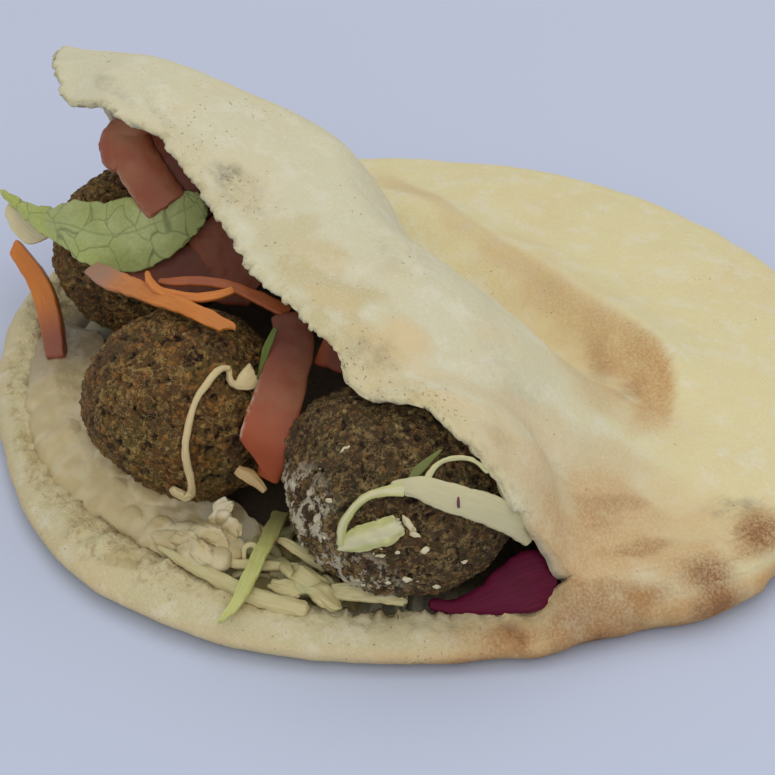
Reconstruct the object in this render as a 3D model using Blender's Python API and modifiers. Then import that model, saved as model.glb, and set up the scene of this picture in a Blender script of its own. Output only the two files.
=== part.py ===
"""Falafel pita: a round pocket bread, slit along its front, over falafels, salad and sauce.

Metres, +Z up. The bread lies flat on z = 0 with its middle at x = y = 0. The slit runs round the front (-Y).
Sizes and places below are in millimetres, and angles in degrees about +Z from +X.
"""

from math import asin, atan2, cos, degrees, exp, hypot, pi, radians, sin, sqrt

import bmesh
import bpy
from mathutils import Vector, noise

MM = 0.001

# Bread
RIM = [(0, 89), (30, 88.5), (70, 87), (110, 86.5), (150, 88.5), (180, 91), (205, 91.5), (222, 87.5),
       (240, 85), (256, 85.5), (275, 87.5), (290, 87), (309, 85), (330, 84), (345, 84.5),
       (360, 89)]         # radius over angle
FAR_ANGLE = 120.0         # direction of the far side
FAR_LIFT = 1.5            # how much higher the far rim stands
RIM_MIDDLE = 4.5          # height of the rim's widest line
DOME_RISE = 10.5          # rise of the upper layer from that line to the middle
DOME_NEAR, DOME_FAR = 3.0, 7.0   # how squarely it falls to the rim, on the near and the far side
DOME_SHAPE = 0.45
RIDGE = (33.0, -0.05, -0.002)    # a blister's ridge across the closed part: y as a polynomial in x
RIDGE_RISE, RIDGE_WIDTH = 4.2, 9.0
TROUGH = (16.0, -0.05, 0.0)      # the dip between it and the flap
TROUGH_DROP, TROUGH_WIDTH = 2.8, 10.0
RIDGE_END, RIDGE_FADE = 62.0, 25.0   # both fade out over this length before their ends
FLOOR_RADIUS = 78.0       # flat underside
FLOOR_THICKNESS = 3.2
FLAP_THICKNESS = 3.1
SLIT_START, SLIT_END = 152.0, 339.0
SLIT_INSET = 9.5          # how far inside the rim the slit's two corners sit
BEAD_WIDTH, BEAD_HEIGHT = 4.6, 7.0   # rounded edge of the lower layer along the slit
BEAD_TURN = 205.0         # how far round its section goes
BEAD_RUN, BEAD_RISE, BEAD_CLIMB = 6.0, 2.4, 1.6   # inner slope from the floor up to the bead
WALL = 4.0                # from the rim to the pocket inside it
CORNER_BLEND = 14.0       # degrees over which the bead grows out of the closed rim
CROWN = (4.0, 6.0)        # where the upper layer's columns meet
COLUMNS, SLIT_COLUMNS = 50, 30
ROWS, SLIT_ROW, FLOOR_ROWS = 24, 8, 3

# The flap's roof: height over x, in front of the shoulder line; the shoulder line: y over x
ROOF = [(-90, 58), (-76, 61), (-60, 64.5), (-42, 66.5), (-25, 64), (-10, 58), (5, 52.5),
        (20, 49.5), (30, 46.5), (40, 40.5), (50, 32), (60, 22.5), (70, 13), (80, 9.5)]
SHOULDER = [(-90, -24), (-45, -16), (-15, -6), (5, -13), (20, -14), (45, -16), (70, -20)]
SHOULDER_SETBACK = 8.0    # the roof starts to fall this far in front of the shoulder line
FALL = [(0, 36), (30, 44), (60, 50)]   # length of the fall to the closed part, over x
LIP_DROOP, DROOP_LENGTH, DROOP_MOST = 5.0, 32.0, 1.6   # the roof bends down towards its edge
# The flap's edge: distance from the bread's middle over angle
LIP = [(152, 79.1), (164, 85), (176, 87), (190, 85.5), (200, 82.5), (208, 78.5), (216, 71), (225, 61),
       (234, 50), (247, 42.5), (262, 41.5), (276, 45), (290, 48), (300, 53), (307, 60), (315, 62.5),
       (322, 64.5), (329, 70.5), (334, 73.5), (339, 74.7)]

# Falafels: middle, radius, half height
FALAFELS = {
    "falafel_right": ((42.0, -42.2, 20.4), 20.3, 16.7),
    "falafel_left": ((-3.2, -55.7, 21.4), 19.2, 17.8),
    "falafel_back": ((-55.8, -27.7, 21.2), 18.4, 17.6),
}
FALAFEL_CELLS = (20, 12)
FALAFEL_ROOM = 1.2        # between the right falafel and the flap that lies on it
FALAFEL_BLEND = 3.0       # how softly the flap lies down round it
CRUST_DEPTH = 0.9         # deepest dent of a falafel's crust
CRUST_SCALE = 7.0         # size of its lumps

FRONT_SLOPE = Vector((0.62, -0.55, 0.56))   # the way the filling leans out of the slit
MOUND_FLOOR_GAP = 0.9
MOUND_END, MOUND_SIDE = 0.04, 0.12          # a mound's edges keep a little of its height
MOUND_EVENNESS = 0.55
SHARP_ANGLE = 50.0


# Numbers and curves

def smoothstep(t):
    t = min(max(t, 0.0), 1.0)
    return t * t * (3.0 - 2.0 * t)


def polynomial(terms, x):
    return sum(term * x ** power for power, term in enumerate(terms))


def hermite(a, b, slope_a, slope_b, t):
    """Cubic from a to b with the given slopes, in units of the step."""
    return (a * (1 + 2 * t) * (1 - t) ** 2 + slope_a * t * (1 - t) ** 2
            + b * t * t * (3 - 2 * t) - slope_b * t * t * (1 - t))


def curve_at(knots, x):
    """Smooth curve through (x, y) knots, held level past its ends."""
    if x <= knots[0][0]:
        return knots[0][1]
    if x >= knots[-1][0]:
        return knots[-1][1]
    i = max(k for k in range(len(knots) - 1) if knots[k][0] <= x)

    def slope(k):
        low, high = knots[max(k - 1, 0)], knots[min(k + 1, len(knots) - 1)]
        return (high[1] - low[1]) / (high[0] - low[0])

    (xa, ya), (xb, yb) = knots[i], knots[i + 1]
    step = xb - xa
    return hermite(ya, yb, slope(i) * step, slope(i + 1) * step, (x - xa) / step)


def along(points, u):
    """Point at u, from 0 to 1, on a smooth curve through evenly counted points."""
    last = len(points) - 1
    i = min(int(u * last), last - 1)
    t = u * last - i

    def slope(k):
        return (points[min(k + 1, last)] - points[max(k - 1, 0)]) / (2 if 0 < k < last else 1)

    return hermite(points[i], points[i + 1], slope(i), slope(i + 1), t)


# Bread surfaces

def far_share(angle):
    return 0.5 + 0.5 * cos(radians(angle - FAR_ANGLE))


def rim_radius(angle):
    return curve_at(RIM, angle % 360.0)


def slit_radius(angle):
    return rim_radius(angle) - SLIT_INSET


def rim_height(angle):
    return RIM_MIDDLE + FAR_LIFT * far_share(angle)


def closed_height(x, y):
    """Top of the closed pocket: a low dome with a trough behind the flap and a ridge behind the trough."""
    angle = degrees(atan2(y, x))
    share = far_share(angle)
    squareness = DOME_NEAR + (DOME_FAR - DOME_NEAR) * share
    inside = max(1.0 - (hypot(x, y) / rim_radius(angle)) ** squareness, 0.0)
    height = rim_height(angle) + (DOME_RISE - FAR_LIFT * share) * inside ** DOME_SHAPE
    middle = smoothstep((RIDGE_END - abs(x)) / RIDGE_FADE)
    ridge = exp(-((y - polynomial(RIDGE, x)) / RIDGE_WIDTH) ** 2)
    trough = exp(-((y - polynomial(TROUGH, x)) / TROUGH_WIDTH) ** 2)
    return height + (RIDGE_RISE * ridge - TROUGH_DROP * trough) * middle


def over_falafel(x, y):
    """Height at which the upper layer would lie on the right falafel."""
    (cx, cy, cz), radius, half_height = FALAFELS["falafel_right"]
    cover = FLAP_THICKNESS + FALAFEL_ROOM
    spread = 1.0 - (hypot(x - cx, y - cy) / (radius + cover)) ** 2
    return cz + (half_height + cover) * sqrt(max(spread, 0.0)) if spread > 0.0 else 0.0


def smooth_max(a, b, width):
    share = smoothstep(0.5 + 0.5 * (a - b) / width)
    return b + (a - b) * share + width * share * (1.0 - share)


def top_height(x, y):
    """Top of the upper layer: the closed dome, and in front of the shoulder the raised flap."""
    closed = closed_height(x, y)
    shoulder = curve_at(SHOULDER, x) - SHOULDER_SETBACK
    raised = 1.0 - smoothstep((y - shoulder) / curve_at(FALL, x))
    droop = LIP_DROOP * min(max((shoulder - y) / DROOP_LENGTH, 0.0), DROOP_MOST) ** 2
    flap = closed + (curve_at(ROOF, x) - droop - closed) * raised
    return smooth_max(flap, over_falafel(x, y), FALAFEL_BLEND)


def top_normal(x, y):
    step = 0.5
    rise_x = (top_height(x + step, y) - top_height(x - step, y)) / (2 * step)
    rise_y = (top_height(x, y + step) - top_height(x, y - step)) / (2 * step)
    return Vector((-rise_x, -rise_y, 1.0)).normalized()


def column_angle(column):
    """The slit's columns share its arc, and the others share the closed rim."""
    slit_arc = SLIT_END - SLIT_START
    if column <= SLIT_COLUMNS:
        return SLIT_START + slit_arc * column / SLIT_COLUMNS
    return SLIT_END + (360.0 - slit_arc) * (column - SLIT_COLUMNS) / (COLUMNS - SLIT_COLUMNS)


def slit_share(angle):
    """0 on the closed rim, 1 well inside the slit."""
    turn = (angle - SLIT_START) % 360.0
    arc = SLIT_END - SLIT_START
    return 0.0 if turn >= arc else smoothstep(min(turn, arc - turn) / CORNER_BLEND)


def edge_radius(angle):
    inside_slit = (angle - SLIT_START) % 360.0 < SLIT_END - SLIT_START
    return curve_at(LIP, angle) if inside_slit else slit_radius(angle)


def polar(radius, angle, z):
    return Vector((radius * cos(radians(angle)), radius * sin(radians(angle)), z))


def upper_point(row, angle, inner):
    """A point of the upper layer, from its edge at SLIT_ROW to the crown at ROWS."""
    out = (ROWS - row) / (ROWS - SLIT_ROW)
    edge = polar(edge_radius(angle), angle, 0.0)
    x = CROWN[0] + (edge.x - CROWN[0]) * out
    y = CROWN[1] + (edge.y - CROWN[1]) * out
    point = Vector((x, y, top_height(x, y)))
    return point - top_normal(x, y) * FLAP_THICKNESS if inner else point


def lower_point(row, angle, inner):
    """A point of the lower layer, from the middle of the underside up to the slit's lower edge."""
    if row <= FLOOR_ROWS:
        radius = (FLOOR_RADIUS - (WALL if inner else 0.0)) * row / FLOOR_ROWS
        return polar(radius, angle, FLOOR_THICKNESS if inner else 0.0)
    t = (row - FLOOR_ROWS) / (SLIT_ROW - FLOOR_ROWS)
    radius, middle = rim_radius(angle), rim_height(angle)
    turn = radians(-90.0 + 180.0 * t)
    edge_top = top_height(*polar(slit_radius(angle), angle, 0.0).xy)
    reach = SLIT_INSET if turn > 0 else radius - FLOOR_RADIUS
    if inner:
        low, high = FLOOR_THICKNESS, edge_top - FLAP_THICKNESS
        closed = polar(radius - WALL - (reach - WALL) * (1 - cos(turn)), angle,
                       (low + high) / 2 + (high - low) / 2 * sin(turn))
        foot = FLOOR_RADIUS - WALL
        bead_edge = radius - BEAD_WIDTH * (1 - cos(radians(BEAD_TURN - 90.0)))
        bead = polar(foot + (bead_edge - 1.0 - foot) * t, angle, low + BEAD_RISE * t ** BEAD_CLIMB)
    else:
        lift = middle if turn < 0 else edge_top - middle
        closed = polar(radius - reach * (1 - cos(turn)), angle, middle + lift * sin(turn))
        bead_turn = radians(-90.0 + BEAD_TURN * t)
        bead = polar(radius - BEAD_WIDTH * (1 - cos(bead_turn)), angle,
                     BEAD_HEIGHT / 2 * (1 + sin(bead_turn)))
    return closed.lerp(bead, slit_share(angle))


def bread_floor(radius):
    """Top of the lower layer inside the slit: flat, then rising to the bead."""
    climb = (radius - FLOOR_RADIUS + WALL) / BEAD_RUN
    return FLOOR_THICKNESS + BEAD_RISE * max(climb, 0.0) ** BEAD_CLIMB


# Making meshes

def make_object(name, bm, collection, material, centre):
    """Turn a bmesh in millimetres into an object placed at its centre, in metres."""
    bmesh.ops.translate(bm, verts=bm.verts, vec=-centre)
    bmesh.ops.scale(bm, verts=bm.verts, vec=(MM, MM, MM))
    mesh = bpy.data.meshes.new(name)
    bm.to_mesh(mesh)
    bm.free()
    mesh.shade_smooth()
    mesh.set_sharp_from_angle(angle=radians(SHARP_ANGLE))
    mesh.materials.append(material)
    piece = bpy.data.objects.new(name, mesh)
    piece.location = centre * MM
    collection.objects.link(piece)
    return piece


def make_material(name, color, roughness):
    material = bpy.data.materials.new(name)
    material.use_nodes = True
    shader = material.node_tree.nodes["Principled BSDF"]
    shader.inputs["Base Color"].default_value = (*color, 1.0)
    shader.inputs["Roughness"].default_value = roughness
    shader.inputs["Metallic"].default_value = 0.0
    return material


def slit_skin(bm, inner):
    """One skin of the bread: a sphere opened along part of one row, then moved onto the bread."""
    before = set(bm.verts)
    bmesh.ops.create_uvsphere(bm, u_segments=COLUMNS, v_segments=ROWS, radius=1.0)
    verts = [v for v in bm.verts if v not in before]

    def row_of(v):
        return round((asin(min(max(v.co.z, -1.0), 1.0)) / pi + 0.5) * ROWS)

    def column_of(v):
        return round(atan2(v.co.y, v.co.x) / (2 * pi) * COLUMNS) % COLUMNS

    on_slit = {v for v in verts if row_of(v) == SLIT_ROW and column_of(v) <= SLIT_COLUMNS}
    slit_edges = [e for e in bm.edges if e.verts[0] in on_slit and e.verts[1] in on_slit]
    bmesh.ops.split_edges(bm, edges=slit_edges)
    verts = [v for v in bm.verts if v not in before]
    faces = list({f for v in verts for f in v.link_faces})
    places = {}
    for v in verts:
        row, angle = row_of(v), column_angle(column_of(v))
        above = max(row_of(w) for f in v.link_faces for w in f.verts) > SLIT_ROW
        make_point = upper_point if row >= SLIT_ROW and above else lower_point
        places[v] = make_point(row, angle, inner)
    for v, place in places.items():
        v.co = place
    if inner:
        bmesh.ops.reverse_faces(bm, faces=faces)


def make_pita(collection, material):
    """Two skins joined round the slit: the flap's torn lip and the lower layer's bead."""
    bm = bmesh.new()
    slit_skin(bm, inner=False)
    slit_skin(bm, inner=True)
    rim_edges = [e for e in bm.edges if e.is_boundary]
    bmesh.ops.bridge_loops(bm, edges=rim_edges)
    bmesh.ops.triangulate(bm, faces=bm.faces)
    return make_object("pita", bm, collection, material, Vector((0, 0, 0)))


def make_falafel(name, centre, radius, half_height, collection, material):
    """A slightly flattened ball with a lumpy crust."""
    bm = bmesh.new()
    across, down = FALAFEL_CELLS
    bmesh.ops.create_uvsphere(bm, u_segments=across, v_segments=down, radius=1.0)
    middle = Vector(centre)
    for v in bm.verts:
        point = Vector((v.co.x * radius, v.co.y * radius, v.co.z * half_height))
        dent = CRUST_DEPTH * (0.5 + 0.5 * noise.noise((point + middle) / CRUST_SCALE))
        v.co = middle + point * (1.0 - dent / radius)
    return make_object(name, bm, collection, material, middle)


def facing_away(centre):
    """Ribbons that lie on a ball face away from its middle."""
    return lambda point: (point - Vector(centre)).normalized()


def facing(direction):
    return lambda point: Vector(direction).normalized()


def make_ribbon(name, shape, collection, material):
    """A strip bent along a path. Its widths follow the path, and curl rolls its sides back from its face."""
    points = [Vector(p) for p in shape["path"]]
    lengthwise, crosswise = shape.get("cells", (10, 2))
    bm = bmesh.new()
    bmesh.ops.create_grid(bm, x_segments=lengthwise, y_segments=crosswise, size=0.5)
    for v in bm.verts:
        u, side = v.co.x + 0.5, v.co.y * 2.0
        centre = along(points, u)
        ahead = along(points, min(u + 0.02, 1.0)) - along(points, max(u - 0.02, 0.0))
        across = shape["face"](centre).cross(ahead).normalized()
        face = ahead.cross(across).normalized()
        half = along(shape["widths"], u) / 2.0
        v.co = centre + across * half * side - face * shape.get("curl", 0.0) * side * side
    middle = points[len(points) // 2]
    piece = make_object(name, bm, collection, material, middle)
    wall = piece.modifiers.new("thickness", "SOLIDIFY")
    wall.thickness = shape["thickness"] * MM
    wall.offset = 0.0
    wall.use_even_offset = True
    return piece


def make_mound(name, shape, collection, material):
    """A low heap on the bread's floor, between two angles and two radii, with an uneven top and outline."""
    (angle_a, angle_b), outer, inner = shape["angles"], shape["outer"], shape["inner"]
    columns, rows = shape.get("cells", (14, 4))
    bm = bmesh.new()
    bmesh.ops.create_grid(bm, x_segments=columns, y_segments=rows, size=0.5)
    lifted = bmesh.ops.extrude_face_region(bm, geom=list(bm.faces))
    top = {g for g in lifted["geom"] if isinstance(g, bmesh.types.BMVert)}
    for v in bm.verts:
        u, side = v.co.x + 0.5, v.co.y + 0.5
        angle = angle_a + (angle_b - angle_a) * u
        near, far = curve_at(inner, angle), curve_at(outer, angle)
        place = polar(near + (far - near) * side, angle, 0.0)
        along_share = min(max(u, MOUND_END), 1.0 - MOUND_END)
        side_share = min(max(side, MOUND_SIDE), 1.0 - MOUND_SIDE)
        swell = sqrt(sin(pi * along_share) * sin(pi * side_share))
        bump = 0.5 + 0.5 * noise.noise(place / shape["lump"])
        rise = shape["height"] * swell * (MOUND_EVENNESS + (1.0 - MOUND_EVENNESS) * bump)
        floor = bread_floor(near + (far - near) * side) + MOUND_FLOOR_GAP
        place.z = floor + (rise if v in top else 0.0)
        v.co = place
    bmesh.ops.recalc_face_normals(bm, faces=bm.faces)
    middle = polar(curve_at(outer, (angle_a + angle_b) / 2), (angle_a + angle_b) / 2, FLOOR_THICKNESS)
    return make_object(name, bm, collection, material, middle)


LEFT, RIGHT, BACK = (FALAFELS["falafel_" + side][0] for side in ("left", "right", "back"))

RIBBONS = {
    "tomato_front": dict(
        material="tomato", thickness=4.6, cells=(8, 1), face=facing(FRONT_SLOPE),
        path=[(10, -40.5, 40), (13, -42.5, 36.5), (16, -47, 33), (19, -51.5, 30.5), (21, -55.5, 27),
              (20.5, -57.5, 20.5)],
        widths=[6.5, 7.5, 8, 8.5, 8.5, 6.5]),
    "tomato_top": dict(
        material="tomato", thickness=4.5, cells=(8, 2), face=facing(FRONT_SLOPE), curl=1.0,
        path=[(-48, -36, 54.5), (-45, -37.5, 52), (-42, -37.5, 48.5), (-38.5, -38, 45), (-36, -39.5, 42)],
        widths=[9, 11, 10.5, 9.5, 3]),
    "tomato_slice_a": dict(
        material="tomato", thickness=3.0, cells=(6, 2), face=facing((0.4, -0.5, 0.75)),
        path=[(-25.5, -31.5, 41), (-18.5, -33.5, 41.2), (-11, -36, 41.6)], widths=[9, 10.5, 9]),
    "tomato_slice_b": dict(
        material="tomato", thickness=3.0, cells=(7, 2), face=facing((0.3, -0.4, 0.85)),
        path=[(-31, -43.5, 31), (-25, -42, 32.5), (-19, -39.5, 34), (-12, -38, 35.5)],
        widths=[6, 8.5, 8.5, 7]),
    "tomato_shade": dict(
        material="tomato", thickness=2.5, cells=(5, 1), face=facing(FRONT_SLOPE),
        path=[(-42, -28, 52), (-36, -28.5, 50.5), (-31, -29, 48.5)], widths=[5, 7, 5]),
    "tomato_deep": dict(
        material="tomato", thickness=2.5, cells=(4, 1), face=facing(FRONT_SLOPE),
        path=[(17, -38.5, 36.5), (21.5, -38.5, 37), (26, -37.5, 38)], widths=[6, 6, 5]),
    "leaf": dict(
        material="leaf", thickness=0.8, cells=(14, 4), face=facing((0.55, -0.6, 0.58)), curl=0.6,
        path=[(-82, -44.5, 31), (-74, -44.5, 30.2), (-63, -45.3, 32), (-52.5, -45.5, 35), (-45, -43, 36),
              (-40, -39, 36.5), (-35, -35.5, 38.5), (-30.5, -32.5, 42), (-27, -30.5, 45)],
        widths=[3, 4, 8, 12, 14.5, 13, 9.5, 6, 4]),
    "onion_left": dict(
        material="onion", thickness=0.9, cells=(5, 2), face=facing(FRONT_SLOPE),
        path=[(-79.5, -43, 27), (-74.5, -42.5, 25.5), (-69, -41.5, 25)], widths=[3, 6, 4]),
    "carrot_left": dict(
        material="carrot", thickness=3.2, cells=(8, 1), face=facing((0.5, -0.6, 0.62)),
        path=[(-52, -52.5, 9), (-59, -49.5, 12), (-66.5, -47, 16), (-75, -46.5, 20.5)],
        widths=[3, 3.6, 3.6, 2.6]),
    "carrot_mid": dict(
        material="carrot", thickness=1.8, cells=(10, 1), face=facing((0.35, -0.5, 0.8)),
        path=[(-39, -50.5, 33), (-27.5, -54, 37), (-17.5, -55.5, 40.2), (-9.5, -55.5, 41.6),
              (-1.5, -54, 42), (5.5, -51, 40)],
        widths=[4, 4.6, 3.6, 3, 2.8, 2.2]),
    "carrot_thin": dict(
        material="carrot", thickness=1.2, cells=(9, 1), face=facing((0.2, -0.3, 0.93)),
        path=[(-18, -50.5, 42.6), (-12.5, -51, 44), (-7.5, -50, 44.4), (-3.5, -48, 44.4),
              (-1.5, -45, 44.2)],
        widths=[1.6, 2.2, 2.2, 2, 1.6]),
    "carrot_arc": dict(
        material="carrot", thickness=1.2, cells=(10, 1), face=facing((0.2, -0.3, 0.93)),
        path=[(-14.5, -47.5, 43), (-9.5, -46.5, 43.8), (-4.5, -44, 44), (0.5, -42, 43.8),
              (6, -39.5, 42.2)],
        widths=[1.6, 2, 2.2, 2.4, 2.2]),
    "cabbage_strand": dict(
        material="cabbage", thickness=1.0, cells=(20, 1), face=facing_away(LEFT),
        path=[(11.2, -71.4, 15), (13.4, -68.6, 16.4), (14.2, -68.1, 21), (13.9, -67.9, 25.8),
              (13, -66.2, 31), (11.6, -63.4, 34.5), (10.8, -59.6, 36.8), (10.6, -56.4, 37.4),
              (12.1, -56.2, 36), (14.4, -54, 34.8)],
        widths=[2.6, 1.7, 1.7, 1.6, 1.6, 1.6, 1.6, 1.5, 2.2, 4.6]),
    "cabbage_rib": dict(
        material="cabbage", thickness=1.3, cells=(12, 2), face=facing_away(RIGHT),
        path=[(53.8, -56.6, 33), (56.6, -54.2, 33.9), (59.4, -51.2, 33.2), (62.2, -47.8, 31.3),
              (64.4, -43.8, 28.6), (65.9, -39.2, 24.2)],
        widths=[2.4, 4, 4.8, 4.8, 4.4, 3]),
    "cabbage_curl": dict(
        material="cabbage", thickness=0.8, cells=(14, 2), face=facing_away(RIGHT), curl=0.3,
        path=[(51.9, -59.4, 33), (50.3, -61.6, 30.6), (50.1, -63.2, 27.8), (51.2, -63.6, 25.4),
              (54, -61.6, 26.9), (56.6, -59.2, 28.4)],
        widths=[2.4, 2.4, 2.2, 2.6, 4.2, 3.2]),
    "cabbage_loop": dict(
        material="cabbage", thickness=0.8, cells=(12, 1), face=facing_away(RIGHT),
        path=[(56.9, -50.2, 36.6), (56.4, -48.2, 37.4), (56.2, -46, 37.9), (56.8, -43.8, 37.6),
              (58.4, -42.2, 36.2)],
        widths=[1.8, 1.6, 1.4, 1.4, 1.4]),
    "leaf_scrap": dict(
        material="leaf", thickness=0.7, cells=(5, 1), face=facing_away(RIGHT),
        path=[(53.2, -52, 37.2), (53, -50, 37.8), (53, -48.2, 38.2)], widths=[1.8, 2.8, 2]),
    "cabbage_shred": dict(
        material="cabbage", thickness=1.0, cells=(12, 1), face=facing((0.3, -0.45, 0.84)),
        path=[(22, -56.5, 9.8), (25.5, -60.6, 10.4), (29.4, -65.4, 10.3), (32.6, -70.6, 9.8),
              (35.6, -75.2, 9.1), (37.6, -78.9, 8.2)],
        widths=[3, 3, 2.4, 2.4, 2, 1.4]),
    "cabbage_front": dict(
        material="cabbage", thickness=1.5, cells=(12, 2), face=facing((0.25, -0.45, 0.86)),
        path=[(10.5, -75.2, 6.6), (18.5, -73.2, 6.8), (26.5, -70.6, 6.8), (34.3, -67.4, 6.8),
              (41.8, -63.8, 6.7)],
        widths=[2.2, 3.4, 4.2, 4.4, 3.4]),
    "cabbage_side": dict(
        material="cabbage", thickness=1.4, cells=(8, 2), face=facing((0.4, -0.5, 0.77)),
        path=[(41.3, -60.4, 7.6), (45.3, -57.9, 7.5), (49, -54.8, 7.2), (52.4, -51, 6.8)],
        widths=[2.6, 3.2, 2.8, 1.6]),
    "beet": dict(
        material="beet", thickness=3.2, cells=(10, 2), face=facing((0.45, -0.5, 0.74)), curl=0.5,
        path=[(54.2, -48.4, 6.4), (58.2, -44.2, 7), (61.2, -39.4, 8.4), (63.2, -35.2, 9.6),
              (64.6, -31.6, 9.6)],
        widths=[3, 3.6, 5.4, 7.6, 5]),
}

MOUNDS = {
    "tahini": dict(
        material="tahini", height=4.4, lump=6.0, angles=(222, 289.5), cells=(18, 4),
        outer=[(222, 71), (232, 74.5), (250, 76), (268, 75.5), (276, 73), (289.5, 70)],
        inner=[(222, 66), (232, 64), (248, 66.5), (262, 69), (272, 68.5), (281, 64), (289.5, 63)]),
    "cabbage_heap": dict(
        material="cabbage", height=4.4, lump=4.5, angles=(290.5, 306), cells=(10, 5),
        outer=[(290.5, 72), (295, 73), (306, 71.5)],
        inner=[(290.5, 60), (293, 57.5), (297, 58), (302, 64.5), (306, 66.5)]),
}

MATERIALS = {
    "bread": ((0.74, 0.66, 0.42), 0.75),
    "falafel": ((0.11, 0.065, 0.028), 0.85),
    "tomato": ((0.38, 0.09, 0.055), 0.35),
    "leaf": ((0.23, 0.33, 0.11), 0.5),
    "onion": ((0.62, 0.6, 0.45), 0.4),
    "carrot": ((0.62, 0.19, 0.05), 0.45),
    "cabbage": ((0.62, 0.6, 0.38), 0.45),
    "beet": ((0.13, 0.008, 0.035), 0.35),
    "tahini": ((0.58, 0.48, 0.33), 0.4),
}


def main():
    for old in list(bpy.data.objects):
        bpy.data.objects.remove(old, do_unlink=True)
    collection = bpy.data.collections.new("falafel_pita")
    bpy.context.scene.collection.children.link(collection)
    materials = {name: make_material(name, *look) for name, look in MATERIALS.items()}
    pieces = [make_pita(collection, materials["bread"])]
    for name, (centre, radius, half_height) in FALAFELS.items():
        pieces.append(make_falafel(name, centre, radius, half_height, collection, materials["falafel"]))
    for name, shape in RIBBONS.items():
        pieces.append(make_ribbon(name, shape, collection, materials[shape["material"]]))
    for name, shape in MOUNDS.items():
        pieces.append(make_mound(name, shape, collection, materials[shape["material"]]))
    base = bpy.data.objects.new("falafel_pita", None)
    collection.objects.link(base)
    for piece in pieces:
        piece.parent = base


main()
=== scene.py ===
"""Falafel pita: the finished look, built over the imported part.

Everything is modelled in millimetres in the part's own frame and scaled to metres when a piece is placed:
the bread lies flat on z = 0, its slit faces -Y, and the raised end of its flap is at -X.
"""

from __future__ import annotations

import logging
from dataclasses import dataclass
from enum import Enum
from math import asin, atan2, cos, degrees, exp, hypot, pi, radians, sin, sqrt
from random import Random
from typing import Callable, Iterable, Optional, Sequence, Union

import bmesh
import bpy
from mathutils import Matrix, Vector, noise

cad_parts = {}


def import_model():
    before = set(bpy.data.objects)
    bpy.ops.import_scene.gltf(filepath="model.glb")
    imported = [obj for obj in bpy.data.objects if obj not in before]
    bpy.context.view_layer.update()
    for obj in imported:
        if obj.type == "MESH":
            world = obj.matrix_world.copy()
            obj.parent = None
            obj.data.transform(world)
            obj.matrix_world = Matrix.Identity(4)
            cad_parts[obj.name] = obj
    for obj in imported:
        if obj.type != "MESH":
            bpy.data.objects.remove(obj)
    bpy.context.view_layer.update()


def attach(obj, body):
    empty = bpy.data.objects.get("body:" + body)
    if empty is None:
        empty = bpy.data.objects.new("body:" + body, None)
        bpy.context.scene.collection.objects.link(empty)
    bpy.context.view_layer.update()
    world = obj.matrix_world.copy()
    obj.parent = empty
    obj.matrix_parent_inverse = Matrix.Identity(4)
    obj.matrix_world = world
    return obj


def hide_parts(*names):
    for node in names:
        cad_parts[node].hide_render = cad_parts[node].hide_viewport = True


LOG = logging.getLogger("falafel_pita")
MM = 0.001
BODY = "root"

Place = Sequence[float]
Direction = Callable[[Vector], Vector]
Mark = Callable[[float, float], float]
Pair = tuple[float, float]
Knots = Sequence[Pair]
Triple = tuple[float, float, float]
Grain = Sequence[tuple[float, float, int]]
Color = Triple
Amount = Union[float, Vector]
Mesh = bmesh.types.BMesh
Vertex = bmesh.types.BMVert
Socket = bpy.types.NodeSocket
Value = Union[float, Color, Socket]
Material = bpy.types.Material


# Numbers and curves

def ease(t: float) -> float:
    """Ease t from 0 to 1, held level outside."""
    t = min(max(t, 0.0), 1.0)
    return t * t * (3.0 - 2.0 * t)


def hermite(a: Amount, b: Amount, slope_a: Amount, slope_b: Amount, t: float) -> Amount:
    """Cubic from a to b at share t of the step, with the slopes at both ends in units of the step."""
    return (a * (1 + 2 * t) * (1 - t) ** 2 + slope_a * t * (1 - t) ** 2
            + b * t * t * (3 - 2 * t) - slope_b * t * t * (1 - t))


def curve_at(knots: Knots, x: float) -> float:
    """Smooth curve through (x, y) knots, held level past its ends.

    Args:
        knots: The curve's (x, y) points, in order of x.
        x: Where to read it.

    Returns:
        The curve's height at x.
    """
    if x <= knots[0][0]:
        return knots[0][1]
    if x >= knots[-1][0]:
        return knots[-1][1]
    i = max(k for k in range(len(knots) - 1) if knots[k][0] <= x)

    def slope(k: int) -> float:
        """Slope through a knot's neighbours."""
        low, high = knots[max(k - 1, 0)], knots[min(k + 1, len(knots) - 1)]
        return (high[1] - low[1]) / (high[0] - low[0])

    (xa, ya), (xb, yb) = knots[i], knots[i + 1]
    step = xb - xa
    return hermite(ya, yb, slope(i) * step, slope(i + 1) * step, (x - xa) / step)


def along(points: Sequence[Amount], u: float) -> Amount:
    """Point on a smooth curve through evenly counted points.

    Args:
        points: Numbers or vectors.
        u: Share of the way, from 0 to 1.

    Returns:
        The number or vector at u.
    """
    last = len(points) - 1
    i = min(int(u * last), last - 1)
    t = u * last - i

    def slope(k: int) -> Amount:
        """Slope through a point's neighbours."""
        return (points[min(k + 1, last)] - points[max(k - 1, 0)]) / (2 if 0 < k < last else 1)

    return hermite(points[i], points[i + 1], slope(i), slope(i + 1), t)


def polynomial(terms: Sequence[float], x: float) -> float:
    """Value at x of a polynomial with these terms, lowest power first."""
    return sum(term * x ** power for power, term in enumerate(terms))


def polar(radius: float, angle: float, height: float) -> Vector:
    """Point at an angle in degrees about +Z from +X."""
    return Vector((radius * cos(radians(angle)), radius * sin(radians(angle)), height))


def angle_of(x: float, y: float) -> float:
    """Angle of (x, y) in degrees, from 0 to 360."""
    return degrees(atan2(y, x)) % 360.0


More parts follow.
